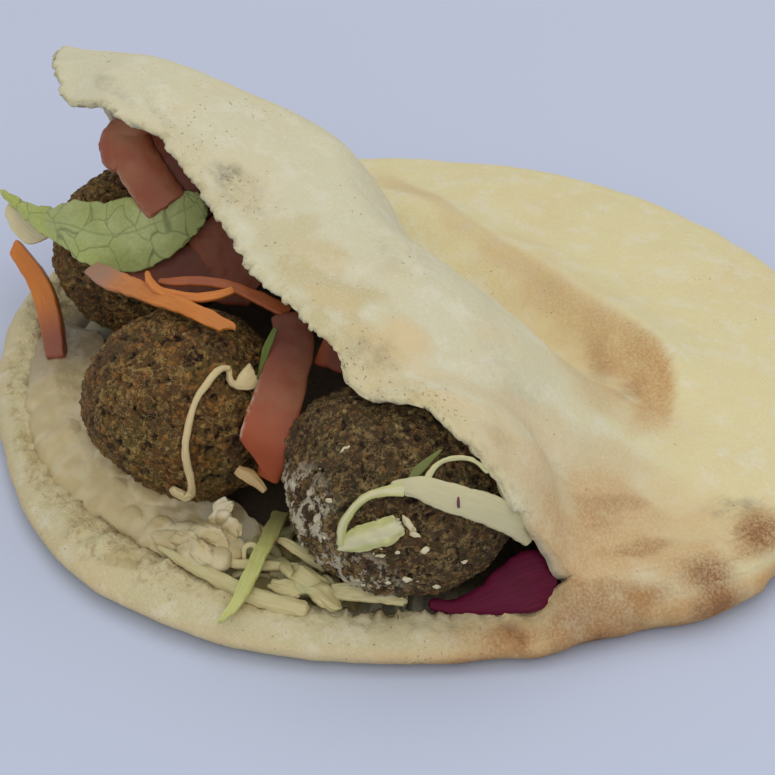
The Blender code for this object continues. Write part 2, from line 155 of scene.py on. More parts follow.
def rough(point: Vector, size: float, octaves: int = 1) -> float:
    """Smooth noise from about -1 to 1: its largest lumps have this size, and octaves add finer ones."""
    return noise.fractal(point / size, 1.0, 2.0, octaves)


def grained(point: Vector, layers: Grain) -> float:
    """Sum of noise layers, each with its height, its size and its octaves."""
    return sum(height * rough(point, size, octaves) for height, size, octaves in layers)


# Node trees

class Graph:
    """A short way to write a material's node tree."""

    def __init__(self, name: str) -> None:
        """Start a material with its Principled shader.

        Args:
            name: The material's name.
        """
        self.material = bpy.data.materials.new(name)
        self.material.use_nodes = True
        self.tree = self.material.node_tree
        self.shader = self.tree.nodes["Principled BSDF"]

    def node(self, kind: str, inputs: Optional[dict] = None, **settings: object) -> bpy.types.Node:
        """Add a node.

        Args:
            kind: Blender's name for the node.
            inputs: Values or sockets by input name or number.
            **settings: The node's own options.

        Returns:
            The new node.
        """
        made = self.tree.nodes.new(kind)
        for key, value in settings.items():
            setattr(made, key, value)
        for key, value in (inputs or {}).items():
            self.put(made.inputs[key], value)
        return made

    def put(self, socket: Socket, value: Value) -> None:
        """Link a socket to a socket, or set its value.

        Args:
            socket: The input.
            value: A socket, a number or a colour.
        """
        if isinstance(value, bpy.types.NodeSocket):
            self.tree.links.new(value, socket)
        elif isinstance(value, tuple) and len(value) == 3 and socket.type == "RGBA":
            socket.default_value = (*value, 1.0)
        else:
            socket.default_value = value

    def set(self, **inputs: Value) -> None:
        """Set the shader's inputs; an underscore stands for a space."""
        for key, value in inputs.items():
            self.put(self.shader.inputs[key.replace("_", " ")], value)

    def place(self) -> Socket:
        """The piece's own coordinates, in metres."""
        return self.node("ShaderNodeTexCoord").outputs["Object"]

    def flat(self) -> Socket:
        """The piece's UV map, in centimetres along and across it."""
        return self.node("ShaderNodeTexCoord").outputs["UV"]

    def stretch(self, vector: Socket, scale: Triple) -> Socket:
        """Coordinates scaled along each axis."""
        return self.node("ShaderNodeMapping", {"Vector": vector, "Scale": scale}).outputs[0]

    def mask(self, name: str) -> Socket:
        """A number stored on the mesh."""
        return self.node("ShaderNodeAttribute", attribute_name=name).outputs["Fac"]

    def noise(self, vector: Socket, scale: float, detail: float = 2.0, roughness: float = 0.5) -> Socket:
        """Noise from 0 to 1."""
        inputs = {"Vector": vector, "Scale": scale, "Detail": detail, "Roughness": roughness}
        return self.node("ShaderNodeTexNoise", inputs).outputs[0]

    def cells(self, vector: Socket, scale: float, feature: str = "F1") -> bpy.types.Node:
        """Cells, with their distance and their random colour."""
        return self.node("ShaderNodeTexVoronoi", {"Vector": vector, "Scale": scale}, feature=feature)

    def math(self, operation: str, a: Value, b: Value = 0.0, clamp: bool = False) -> Socket:
        """Arithmetic on two values."""
        return self.node("ShaderNodeMath", {0: a, 1: b}, operation=operation, use_clamp=clamp).outputs[0]

    def times(self, a: Value, b: Value, clamp: bool = False) -> Socket:
        """One value times another."""
        return self.math("MULTIPLY", a, b, clamp)

    def plus(self, a: Value, b: Value) -> Socket:
        """One value added to another."""
        return self.math("ADD", a, b)

    def less(self, a: Value, b: Value) -> Socket:
        """One value less another."""
        return self.math("SUBTRACT", a, b)

    def between(self, value: Value, low: float, high: float) -> Socket:
        """Ease a value from 0 at low to 1 at high."""
        inputs = {"Value": value, "From Min": low, "From Max": high}
        return self.node("ShaderNodeMapRange", inputs, interpolation_type="SMOOTHSTEP").outputs[0]

    def patches(self, vector: Socket, scale: float, detail: float, roughness: float, low: float,
                high: float) -> Socket:
        """Patches of noise, eased from 0 where the noise is low to 1 where it is high."""
        return self.between(self.noise(vector, scale, detail, roughness), low, high)

    def layer(self, base: Value, color: Value, amount: Value, share: float = 1.0) -> Socket:
        """A colour laid over a base, by an amount and a share of that amount."""
        factor = amount if share == 1.0 else self.times(amount, share)
        return self.node("ShaderNodeMix", {0: factor, 6: base, 7: color}, data_type="RGBA").outputs[2]

    def bump(self, height: Socket, strength: float, depth: float) -> None:
        """Fine relief: height from 0 to 1 stands for a depth in millimetres."""
        made = self.node("ShaderNodeBump", {"Height": height, "Strength": strength, "Distance": depth * MM})
        self.put(self.shader.inputs["Normal"], made.outputs[0])


# Finishes

@dataclass(frozen=True)
class BreadFinish:
    """Floury pale crust with toasted patches, char specks and a torn crumb, and painted shade in the crease,
    in the torn crumb and deep inside the pocket.
    """

    pale: Color = (0.61, 0.588, 0.415)
    cream: Color = (0.7, 0.625, 0.35)
    edge: Color = (0.52, 0.455, 0.255)
    warm: Color = (0.66, 0.5, 0.265)
    bloom: Color = (0.72, 0.7, 0.58)
    flour: Color = (0.74, 0.71, 0.57)
    toast: Color = (0.52, 0.315, 0.135)
    brown: Color = (0.265, 0.13, 0.055)
    char: Color = (0.06, 0.055, 0.045)
    crumb: Color = (0.6, 0.525, 0.3)
    soaked: Color = (0.46, 0.35, 0.15)
    speck: Color = (0.22, 0.17, 0.1)
    shade: Color = (0.36, 0.255, 0.12)
    pocket_shade: Color = (0.085, 0.055, 0.032)
    roughness: float = 0.8

    def material(self) -> Material:
        """Build the node tree.

        Returns:
            The material.
        """
        g = Graph("pita bread")
        place = g.place()
        fine = g.noise(place, 320, 4, 0.65)
        mottle = g.noise(place, 150, 5, 0.7)
        torn, soot, edge, closed = (g.mask(name) for name in ("torn", "soot", "edge", "closed"))
        base = g.layer(self.pale, self.cream, closed)
        base = g.layer(base, self.edge, edge)
        base = g.layer(base, self.warm, g.patches(place, 45, 4, 0.6, 0.45, 0.75), 0.35)
        base = g.layer(base, self.warm, g.between(fine, 0.48, 0.72), 0.14)
        base = g.layer(base, self.bloom, g.between(mottle, 0.48, 0.66), 0.42)
        base = g.layer(base, self.warm, g.patches(place, 1500, 3, 0.7, 0.42, 0.66), 0.24)
        base = g.layer(base, self.flour, g.patches(place, 2300, 3, 0.7, 0.50, 0.68), 0.34)
        base = g.layer(base, self.warm, g.mask("warm"))
        worms = g.patches(place, 1900, 3, 0.65, 0.32, 0.68)
        speckle = g.plus(g.times(mottle, 1.2), g.times(worms, 0.5))
        base = g.layer(base, self.toast, g.times(g.mask("toast"), g.less(speckle, 0.02), clamp=True))
        base = g.layer(base, self.brown, g.times(g.mask("burn"), g.less(speckle, 0.05), clamp=True))
        base = g.layer(base, self.crumb, torn, 0.8)
        base = g.layer(base, self.soaked, g.times(torn, g.patches(place, 85, 4, 0.65, 0.50, 0.66)), 0.6)
        # painted shade: patches of shade in the torn crumb, and along the crease
        base = g.layer(base, self.shade, g.times(torn, g.patches(place, 520, 3, 0.65, 0.52, 0.68)), 0.65)
        base = g.layer(base, self.shade, g.times(g.mask("crease"), g.between(mottle, 0.36, 0.60)))
        # painted shade: the inner skins darken deep inside the pocket, by the inside mask
        base = g.layer(base, self.pocket_shade, g.mask("inside"))
        smoke = g.plus(g.patches(place, 330, 4, 0.65, 0.36, 0.70), 0.12)
        base = g.layer(base, self.char, g.times(soot, smoke), 0.5)
        crowd = g.times(g.patches(place, 60, 3, 0.5, 0.50, 0.70), 0.10)
        crowd = g.less(crowd, g.times(closed, 0.045))
        crowd = g.plus(crowd, g.times(g.plus(soot, g.times(edge, 0.3)), 0.12))
        dots = g.between(g.plus(g.noise(place, 1350, 1, 0.5), crowd), 0.765, 0.80)
        base = g.layer(base, self.speck, dots, 0.66)
        g.set(Base_Color=base, Roughness=self.roughness, Specular_IOR_Level=0.2)
        relief = g.plus(g.times(fine, 0.7), g.times(g.noise(place, 950, 3, 0.6), 0.75))
        relief = g.plus(relief, g.times(g.times(torn, g.noise(place, 520, 4, 0.7)), 2.2))
        g.bump(relief, 0.6, 0.5)
        return g.material


@dataclass(frozen=True)
class FalafelFinish:
    """Crumbly fried crust: brown, orange and olive crumbs with painted shade in the hollows between them,
    painted shadow patches, and herb and pale flecks.
    """

    name: str = "falafel crust"
    hollow_shade: Color = (0.02, 0.011, 0.007)
    brown: Color = (0.165, 0.085, 0.028)
    tan: Color = (0.44, 0.28, 0.085)
    orange: Color = (0.42, 0.18, 0.042)
    olive: Color = (0.155, 0.105, 0.028)
    pale: Color = (0.55, 0.4, 0.17)
    herb: Color = (0.11, 0.135, 0.028)
    sauce: Color = (0.88, 0.78, 0.56)
    shadow: Color = (0.045, 0.024, 0.018)
    deepen: float = 0.5
    roughness: float = 0.62

    def material(self) -> Material:
        """Build the node tree.

        Returns:
            The material.
        """
        g = Graph(self.name)
        place = g.place()
        crumbs = g.noise(place, 1250, 4, 0.7)
        chips = g.noise(g.stretch(place, (1, 0.8, 1.1)), 820, 5, 0.78)
        height = g.plus(g.times(g.mask("raised"), 0.40), g.times(crumbs, 0.75))
        color = g.layer(self.brown, self.olive, g.patches(place, 130, 4, 0.65, 0.44, 0.64))
        # painted shade: the hollows of the relief darken towards near black
        color = g.layer(color, self.hollow_shade, g.between(height, 0.62, 0.40))
        tint = g.layer(self.tan, self.orange, g.patches(place, 300, 3, 0.7, 0.47, 0.57))
        color = g.layer(color, tint, g.times(g.between(chips, 0.49, 0.57), g.between(height, 0.44, 0.60)))
        hulls = g.math("ABSOLUTE", g.less(g.noise(place, 620, 2, 0.6), 0.5))
        hulls = g.times(g.between(hulls, 0.028, 0.006), g.patches(place, 270, 3, 0.6, 0.50, 0.60))
        color = g.layer(color, self.pale, hulls, 0.55)
        color = g.layer(color, self.shadow, g.patches(place, 95, 4, 0.6, 0.48, 0.70), self.deepen)
        cells = g.cells(place, 700)
        pick = g.node("ShaderNodeSeparateColor", {0: cells.outputs["Color"]})
        spot = g.between(cells.outputs["Distance"], 0.36, 0.18)
        color = g.layer(color, self.pale, g.times(spot, g.math("GREATER_THAN", pick.outputs[0], 0.94)), 0.6)
        color = g.layer(color, self.herb, g.times(spot, g.math("GREATER_THAN", pick.outputs[1], 0.95)), 0.6)
        streaks = g.patches(g.stretch(place, (1, 1, 0.6)), 360, 5, 0.7, 0.49, 0.56)
        color = g.layer(color, self.sauce, g.times(g.mask("smear"), streaks), 0.85)
        g.set(Base_Color=color, Roughness=self.roughness, Specular_IOR_Level=0.2)
        relief = g.plus(crumbs, g.times(chips, 1.3))
        g.bump(g.plus(relief, g.times(g.noise(place, 2400, 3, 0.7), 0.5)), 1.0, 0.9)
        return g.material


@dataclass(frozen=True)
class TomatoFinish:
    """Cut tomato: dull moist flesh, redder towards its skin, with a painted wet highlight along one edge and
    painted shade where it lies in the pocket.
    """

    flesh: Color = (0.345, 0.142, 0.07)
    red: Color = (0.335, 0.098, 0.047)
    murk: Color = (0.2, 0.055, 0.035)
    bright: Color = (0.325, 0.07, 0.022)
    wet: Color = (0.56, 0.4, 0.31)
    dark: Color = (0.05, 0.009, 0.008)
    roughness: float = 0.42

    def material(self) -> Material:
        """Build the node tree.

        Returns:
            The material.
        """
        g = Graph("tomato")
        place = g.place()
        color = g.layer(self.flesh, self.red, g.patches(place, 130, 3, 0.6, 0.36, 0.64))
        color = g.layer(color, self.murk, g.patches(place, 75, 3, 0.6, 0.42, 0.66), 0.35)
        streaks = g.patches(g.stretch(g.flat(), (1, 4, 1)), 2, 4, 0.6, 0.5, 0.75)
        color = g.layer(color, self.bright, streaks, 0.25)
        color = g.layer(color, self.bright, g.mask("bright"))
        beads = g.patches(place, 600, 4, 0.7, 0.38, 0.60)
        # painted wet highlight: pale beads along one edge
        color = g.layer(color, self.wet, g.times(g.mask("wet"), beads))
        color = g.layer(color, self.dark, g.mask("shade"))
        g.set(Base_Color=color, Roughness=self.roughness, Subsurface_Weight=0.06, Subsurface_Scale=0.002,
              Specular_IOR_Level=0.22)
        g.bump(g.noise(place, 520, 4, 0.6), 0.4, 0.3)
        return g.material


@dataclass(frozen=True)
class LeafFinish:
    """Soft salad leaf: a net of thin darker veins, yellower in its folds, with painted shade where it curls
    under.
    """

    blade: Color = (0.345, 0.385, 0.13)
    pale: Color = (0.42, 0.46, 0.19)
    bright: Color = (0.5, 0.56, 0.13)
    dark: Color = (0.13, 0.15, 0.035)
    vein: Color = (0.11, 0.135, 0.035)
    roughness: float = 0.5

    def material(self) -> Material:
        """Build the node tree.

        Returns:
            The material.
        """
        g = Graph("salad leaf")
        place = g.place()
        fine = g.cells(place, 900.0, "DISTANCE_TO_EDGE").outputs["Distance"]
        color = g.layer(self.blade, self.pale, g.patches(place, 120, 3, 0.5, 0.40, 0.66))
        color = g.layer(color, self.bright, g.mask("bright"))
        color = g.layer(color, self.vein, g.between(fine, 0.10, 0.0), 0.16)
        color = g.layer(color, self.vein, g.mask("vein"), 0.62)
        color = g.layer(color, self.dark, g.mask("shade"))
        g.set(Base_Color=color, Roughness=self.roughness, Subsurface_Weight=0.15, Subsurface_Scale=0.001,
              Specular_IOR_Level=0.3)
        g.bump(g.plus(g.times(fine, 0.5), g.times(g.noise(place, 700, 3), 0.6)), 0.45, 0.25)
        return g.material


@dataclass(frozen=True)
class FibreFinish:
    """Cut vegetable with fine fibres along it."""

    name: str
    light: Color
    deep: Color
    tip: Color
    roughness: float = 0.42
    glow: float = 0.15
    coat: float = 0.1
    shine: float = 0.4

    def material(self) -> Material:
        """Build the node tree.

        Returns:
            The material.
        """
        g = Graph(self.name)
        place = g.place()
        fibres = g.noise(g.stretch(g.flat(), (0.5, 9, 1)), 3, 4, 0.6)
        color = g.layer(self.light, self.deep, g.between(fibres, 0.32, 0.72))
        color = g.layer(color, self.deep, g.patches(place, 170, 3, 0.5, 0.5, 0.75), 0.5)
        color = g.layer(color, self.tip, g.mask("tip"))
        g.set(Base_Color=color, Roughness=self.roughness, Subsurface_Weight=self.glow, Subsurface_Scale=0.002,
              Specular_IOR_Level=self.shine, Coat_Weight=self.coat, Coat_Roughness=0.3)
        g.bump(g.plus(fibres, g.times(g.noise(place, 800, 3), 0.5)), 0.4, 0.22)
        return g.material


@dataclass(frozen=True)
class SauceFinish:
    """Creamy sesame sauce with fine grit and a wet sheen, with painted shade towards its left end and painted
    light inwards on its right.
    """

    cream: Color = (0.6, 0.5, 0.285)
    pale: Color = (0.64, 0.565, 0.365)
    warm: Color = (0.5, 0.375, 0.185)
    soaked: Color = (0.5, 0.4, 0.2)
    dim: Color = (0.36, 0.285, 0.165)
    light: Color = (0.93, 0.84, 0.63)
    roughness: float = 0.36

    def material(self) -> Material:
        """Build the node tree.

        Returns:
            The material.
        """
        g = Graph("tahini")
        place = g.place()
        color = g.layer(self.cream, self.pale, g.patches(place, 75, 3, 0.5, 0.36, 0.66))
        color = g.layer(color, self.warm, g.patches(place, 220, 4, 0.65, 0.52, 0.72), 0.35)
        color = g.layer(color, self.soaked, g.mask("soaked"))
        # painted shade: the sauce darkens towards its left end
        color = g.layer(color, self.dim, g.mask("dim"))
        # painted light: the sauce is lightened inwards on its right, below the left falafel
        color = g.layer(color, self.light, g.mask("light"))
        g.set(Base_Color=color, Roughness=self.roughness, Subsurface_Weight=0.15, Subsurface_Scale=0.0015,
              Specular_IOR_Level=0.4)
        g.bump(g.noise(place, 480, 5, 0.65), 0.5, 0.4)
        return g.material


# painted shade: a darker copy of the crust for the right falafel, which lies in shade under the flap; the
# loose crumbs use it too
SHADED_CRUST = FalafelFinish("falafel crust darker", brown=(0.1, 0.06, 0.026), tan=(0.34, 0.225, 0.085),
                           orange=(0.27, 0.135, 0.042), olive=(0.092, 0.066, 0.026), deepen=0.62)
CARROT = FibreFinish("carrot", (0.6, 0.205, 0.03), (0.52, 0.15, 0.022), (0.26, 0.075, 0.04), coat=0.0)
CARROT_PALE = FibreFinish("carrot pale end", (0.56, 0.2, 0.032), (0.47, 0.145, 0.024), (0.38, 0.185, 0.1),
                          coat=0.0)
CARROT_DARK = FibreFinish("carrot shaded", (0.36, 0.1, 0.028), (0.26, 0.065, 0.02), (0.24, 0.07, 0.04),
                          coat=0.0)
CABBAGE = FibreFinish("cabbage", (0.57, 0.5, 0.265), (0.47, 0.41, 0.185), (0.5, 0.5, 0.2), glow=0.2,
                      coat=0.15)
CABBAGE_PALE = FibreFinish("cabbage rib", (0.54, 0.495, 0.3), (0.5, 0.455, 0.26), (0.58, 0.58, 0.32),
                           glow=0.2, coat=0.0)
STRAND = FibreFinish("cabbage strand", (0.63, 0.505, 0.265), (0.51, 0.4, 0.195), (0.58, 0.5, 0.35), coat=0.0)
FRESH = FibreFinish("green shred", (0.52, 0.535, 0.185), (0.44, 0.455, 0.14), (0.3, 0.27, 0.1), glow=0.2)
CABBAGE_GREEN = FibreFinish("cabbage green edge", (0.49, 0.48, 0.2), (0.42, 0.42, 0.15), (0.6, 0.56, 0.36),
                            glow=0.2)
CABBAGE_HEAP = FibreFinish("cabbage in sauce", (0.6, 0.525, 0.27), (0.46, 0.395, 0.175), (0.5, 0.5, 0.2),
                           glow=0.2, coat=0.1)
CABBAGE_OLIVE = FibreFinish("cabbage in shade", (0.36, 0.29, 0.115), (0.25, 0.195, 0.07), (0.2, 0.2, 0.1),
                            glow=0.1)
ONION = FibreFinish("onion", (0.66, 0.6, 0.37), (0.57, 0.51, 0.29), (0.66, 0.62, 0.42), glow=0.3, coat=0.1)
BEET = FibreFinish("beet", (0.115, 0.006, 0.03), (0.075, 0.004, 0.018), (0.2, 0.03, 0.06), roughness=0.5,
                   glow=0.0, coat=0.0, shine=0.12)
PURPLE = FibreFinish("purple vein", (0.16, 0.045, 0.075), (0.11, 0.03, 0.05), (0.3, 0.2, 0.2), coat=0.0,
                     shine=0.2)
HERB = FibreFinish("green scrap", (0.115, 0.145, 0.025), (0.07, 0.095, 0.018), (0.3, 0.33, 0.12), coat=0.0,
                   shine=0.15)
PEEL = FibreFinish("yellow scrap", (0.5, 0.36, 0.16), (0.42, 0.27, 0.1), (0.42, 0.46, 0.22), glow=0.3)


# Pieces

def place_piece(bm: Mesh, name: str, material: Material, nodes: Iterable[str] = ()) -> None:
    """Turn a mesh in millimetres into a finished piece at the origin.

    Args:
        bm: The modelled mesh; it is used up.
        name: The piece's name.
        material: Its finish.
        nodes: The CAD nodes that it stands for.
    """
    bmesh.ops.scale(bm, verts=bm.verts, vec=(MM, MM, MM))
    mesh = bpy.data.meshes.new(name)
    bm.to_mesh(mesh)
    bm.free()
    mesh.shade_smooth()
    mesh.materials.append(material)
    piece = bpy.data.objects.new(name, mesh)
    bpy.context.scene.collection.objects.link(piece)
    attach(piece, BODY)
    if nodes:
        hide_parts(*nodes)
    LOG.info("%s: %d faces", name, len(mesh.polygons))


@dataclass(frozen=True)
class Ball:
    """One falafel: middle, radius and half height in millimetres."""

    middle: Triple
    radius: float
    half_height: float

    def facing(self) -> Direction:
        """Direction away from the ball's middle."""
        return lambda point: (point - Vector(self.middle)).normalized()

    def on_surface(self, azimuth: float, elevation: float, lift: float) -> Vector:
        """Point on the ball.

        Args:
            azimuth: Angle round the ball in degrees.
            elevation: Angle up from its middle in degrees.
            lift: How far off the ball.

        Returns:
            The point.
        """
        a, e, wide = radians(azimuth), radians(elevation), self.radius
        out = Vector((cos(a) * cos(e) * wide, sin(a) * cos(e) * wide, sin(e) * self.half_height))
        return Vector(self.middle) + out * (1.0 + lift / wide)


RIGHT = Ball((42, -42.2, 20.4), 20.3, 16.7)
LEFT = Ball((-3.2, -55.7, 21.4), 19.2, 17.8)
BACK = Ball((-55.8, -27.7, 21.2), 18.4, 17.6)


@dataclass(frozen=True)
class Patch:
    """An oval patch on the bread, seen from above."""

    x: float
    y: float
    length: float
    width: float
    turn: float
    strength: float

    def at(self, x: float, y: float, wander: float) -> float:
        """How much of the patch is at a place.

        Args:
            x, y: The place.
            wander: How far its outline is moved there, as a share of its size.

        Returns:
            Its strength there.
        """
        dx, dy = x - self.x, y - self.y
        c, s = cos(radians(self.turn)), sin(radians(self.turn))
        reach = hypot((dx * c + dy * s) / self.length, (dy * c - dx * s) / self.width) + wander
        return self.strength * ease(1.5 - reach)


def patches(*rows: Sequence[float]) -> tuple[Patch, ...]:
    """Patches from rows of their place, length, width, turn and strength."""
    return tuple(Patch(*row) for row in rows)


@dataclass(frozen=True)
class BreadShape:
    """The bread's surfaces: the part's own, with a flatter ridge, a wider bead and a lower-hanging tip."""

    rim: Knots = ((0, 89), (30, 88.5), (70, 87), (110, 86.5), (150, 88.5), (180, 91), (205, 91.5),
                  (222, 87.5), (240, 85), (256, 85.5), (275, 87.5), (290, 87), (309, 85), (330, 84),
                  (345, 84.5), (360, 89))
    roof: Knots = ((-90, 58), (-76, 61), (-60, 64.5), (-42, 66.5), (-25, 64), (-10, 58), (5, 52.5),
                   (20, 49.5), (30, 46.5), (40, 40.5), (50, 32), (60, 22.5), (70, 13), (80, 9.5))
    shoulder: Knots = ((-90, -24), (-45, -16), (-15, -6), (5, -13), (20, -14), (45, -16), (70, -20))
    fall: Knots = ((0, 36), (30, 44), (60, 50))
    lip: Knots = ((152, 79.1), (164, 85), (176, 87), (190, 85.5), (200, 82.5), (208, 78.5), (216, 71),
                  (225, 61.4), (234, 50.8), (240, 46.8), (247, 44.5), (255, 43.2), (262, 43.2), (276, 45.6),
                  (290, 48), (300, 53), (307, 60), (315, 62.5), (320, 65.5), (325, 71), (328.5, 74.5),
                  (332, 76.2), (337, 78.2))
    far_angle: float = 120.0
    far_lift: float = 1.5
    rim_middle: float = 4.5
    dome_rise: float = 10.5
    dome_near: float = 3.0
    dome_far: float = 7.0
    dome_shape: float = 0.45
    ridge: Triple = (33, -0.05, -0.002)
    ridge_rise: float = 4.2
    ridge_width: float = 9.0
    trough: Triple = (16, -0.05, 0)
    trough_drop: float = 2.8
    trough_width: float = 10.0
    ridge_end: float = 62.0
    ridge_fade: float = 25.0
    floor_radius: float = 78.0
    floor_thickness: float = 3.2
    flap_thickness: float = 3.1
    slit_start: float = 152.0
    slit_end: float = 337.0
    slit_inset: float = 9.5
    corner_inset: float = 3.5
    corner_reach: float = 12.0
    bead_width: Knots = ((152, 4.6), (205, 4.6), (222, 5.8), (240, 5), (255, 5.3), (263, 6.4), (275, 7.8),
                         (290, 7.8), (305, 6.8), (320, 6.6), (330, 6.2), (340, 4.8))
    bead_height: float = 7.0
    bead_turn: float = 205.0
    bead_rise: float = 2.4
    bead_climb: float = 1.6
    wall: float = 4.0
    corner_blend: Pair = (14, 9)
    lower_blend: float = 5.5
    crown: Pair = (4, 6)
    shoulder_setback: float = 8.0
    lip_droop: float = 5.0
    droop_length: float = 32.0
    droop_most: float = 1.6
    falafel_room: float = 1.2
    falafel_blend: float = 3.0
    drape: float = 1.7
    flat: tuple[float, float, float, float, float] = (3, -28, -14, 20, 11)
    hang: tuple[float, float, float, float, float] = (2.6, -54, -34, 9, 9)

    def far_share(self, angle: float) -> float:
        """1 on the far side of the bread, 0 on the near side."""
        return 0.5 + 0.5 * cos(radians(angle - self.far_angle))

    def rim_radius(self, angle: float) -> float:
        """Distance of the rim from the middle."""
        return curve_at(self.rim, angle % 360.0)

    def rim_height(self, angle: float) -> float:
        """Height of the rim's widest line."""
        return self.rim_middle + self.far_lift * self.far_share(angle)

    def closed_height(self, x: float, y: float) -> float:
        """Top of the closed pocket: a low dome with a trough and a ridge behind the flap.

        Args:
            x, y: The place.

        Returns:
            The height.
        """
        angle = angle_of(x, y)
        share = self.far_share(angle)
        squareness = self.dome_near + (self.dome_far - self.dome_near) * share
        inside = max(1.0 - (hypot(x, y) / self.rim_radius(angle)) ** squareness, 0.0)
        height = self.rim_height(angle) + (self.dome_rise - self.far_lift * share) * inside ** self.dome_shape
        middle = ease((self.ridge_end - abs(x)) / self.ridge_fade)
        ridge = exp(-((y - polynomial(self.ridge, x)) / self.ridge_width) ** 2)
        trough = exp(-((y - polynomial(self.trough, x)) / self.trough_width) ** 2)
        return height + (self.ridge_rise * ridge - self.trough_drop * trough) * middle

    def over_falafel(self, x: float, y: float) -> float:
        """Height at which the flap lies on the right falafel.

        Args:
            x, y: The place.

        Returns:
            The height, falling off in a straight slope beside the ball.
        """
        cx, cy, cz = RIGHT.middle
        cover = self.flap_thickness + self.falafel_room
        radius, rise = RIGHT.radius + cover, RIGHT.half_height + cover
        leave = self.drape * radius / rise
        leave = radius * leave / sqrt(1.0 + leave * leave)
        reach = hypot(x - cx, y - cy)
        near = min(reach, leave)
        return cz + rise * sqrt(1.0 - (near / radius) ** 2) - self.drape * max(reach - leave, 0.0)

    def top_height(self, x: float, y: float) -> float:
        """Top of the upper layer: the closed dome, and the raised flap in front of its shoulder.

        Args:
            x, y: The place.

        Returns:
            The height.
        """
        closed = self.closed_height(x, y)
        shoulder = curve_at(self.shoulder, x) - self.shoulder_setback
        raised = 1.0 - ease((y - shoulder) / curve_at(self.fall, x))
        droop = self.lip_droop * min(max((shoulder - y) / self.droop_length, 0.0), self.droop_most) ** 2
        flap = closed + (curve_at(self.roof, x) - droop - closed) * raised
        drop, flat_x, flat_y, wide, deep = self.flat
        flap -= drop * exp(-((x - flat_x) / wide) ** 2 - ((y - flat_y) / deep) ** 2)
        drop, hang_x, hang_y, wide, deep = self.hang
        flap -= drop * exp(-((x - hang_x) / wide) ** 2) * ease((hang_y - y) / deep)
        ball = self.over_falafel(x, y)
        share = ease(0.5 + 0.5 * (flap - ball) / self.falafel_blend)
        return ball + (flap - ball) * share + self.falafel_blend * share * (1.0 - share)

    def top_normal(self, x: float, y: float) -> Vector:
        """Upward normal of the upper layer's top.

        Args:
            x, y: The place.

        Returns:
            The normal, of length 1.
        """
        step = 0.5
        rise_x = (self.top_height(x + step, y) - self.top_height(x - step, y)) / (2 * step)
        rise_y = (self.top_height(x, y + step) - self.top_height(x, y - step)) / (2 * step)
        return Vector((-rise_x, -rise_y, 1.0)).normalized()

    def slit_share(self, angle: float, right_blend: Optional[float] = None) -> float:
        """0 on the closed rim, 1 well inside the slit.

        Args:
            angle: The angle in degrees.
            right_blend: Over how many degrees it grows at the right corner, when not as usual.

        Returns:
            The share.
        """
        turn = (angle - self.slit_start) % 360.0
        arc = self.slit_end - self.slit_start
        if turn >= arc:
            return 0.0
        left, right = self.corner_blend
        return ease(turn / left) * ease((arc - turn) / (right_blend or right))

    def inset(self, angle: float) -> float:
        """How far inside the rim the slit's level runs: nearer to it at the right corner."""
        return self.slit_inset - self.corner_inset * exp(-((angle - self.slit_end) / self.corner_reach) ** 2)

    def edge_height(self, angle: float) -> float:
        """Height where the closed rim's two layers meet, carried on from the nearest corner inside the slit.

        Args:
            angle: The angle in degrees.

        Returns:
            The height.
        """
        turn = (angle - self.slit_start) % 360.0
        arc = self.slit_end - self.slit_start
        at_angle = angle
        if 0.0 < turn < arc:
            at_angle = self.slit_start if turn < arc / 2 else self.slit_end
        return self.top_height(*polar(self.rim_radius(at_angle) - self.inset(at_angle), at_angle, 0.0).xy)

    def floor_height(self, radius: float) -> float:
        """Top of the lower layer inside the slit: flat, then rising to the bead."""
        climb = (radius - self.floor_radius + self.wall) / 6.0
        return self.floor_thickness + self.bead_rise * max(climb, 0.0) ** self.bead_climb


class Skin(Enum):
    """The bread's two skins."""

    OUTER = 0
    INNER = 1


@dataclass
class Spot:
    """A point of the bread, how torn it is, and how much painted shade it takes in its crease and deep inside
    the pocket, each from 0 to 1.
    """

    point: Vector
    torn: float = 0.0
    crease: float = 0.0
    inside: float = 0.0


@dataclass(frozen=True)
class Crest:
    """The blister's crest across the closed part, with the toasted slope in front of it."""

    line: Knots = ((-60, 44), (-41, 42), (-16, 35.5), (0, 33.5), (12, 31.2), (26, 29.6), (33, 29), (40, 27.4),
                   (47, 23.7), (53, 16.4), (58, 9))
    width: Knots = ((-45, 9), (-20, 8), (0, 8), (13, 10), (30, 16), (48, 17))
    strength: Knots = ((-62, 0), (-52, 0.42), (-40, 0.45), (-30, 0.34), (-18, 0.34), (-6, 0.42), (6, 0.5),
                       (20, 0.56), (30, 0.74), (44, 1.05), (52, 0.85), (58, 0))
    rise: float = 1.1
    sharpness: float = 3.2

    def toast(self, x: float, y: float, wander: float) -> float:
        """How toasted the slope is: sharp at the crest, fading towards the flap.

        Args:
            x, y: The place.
            wander: How far the crest is moved there.

        Returns:
            The toasting, from 0 to about 1.
        """
        crest = curve_at(self.line, x) + 1.5 * wander
        width = curve_at(self.width, x)
        near = ease((y - crest + width * (1.0 - 0.5 * wander)) / (0.55 * width))
        return curve_at(self.strength, x) * near * ease((crest + 1.2 - y) / 2.4)

    def lift(self, x: float, y: float) -> float:
        """A narrow fold along the crest, stronger towards +X.

        Args:
            x, y: The place.

        Returns:
            Its height there.
        """
        share = ease((x + 10.0) / 25.0) * ease((56.0 - x) / 14.0)
        gap = (y - curve_at(self.line, x)) / self.sharpness
        return self.rise * share * exp(-gap * gap)


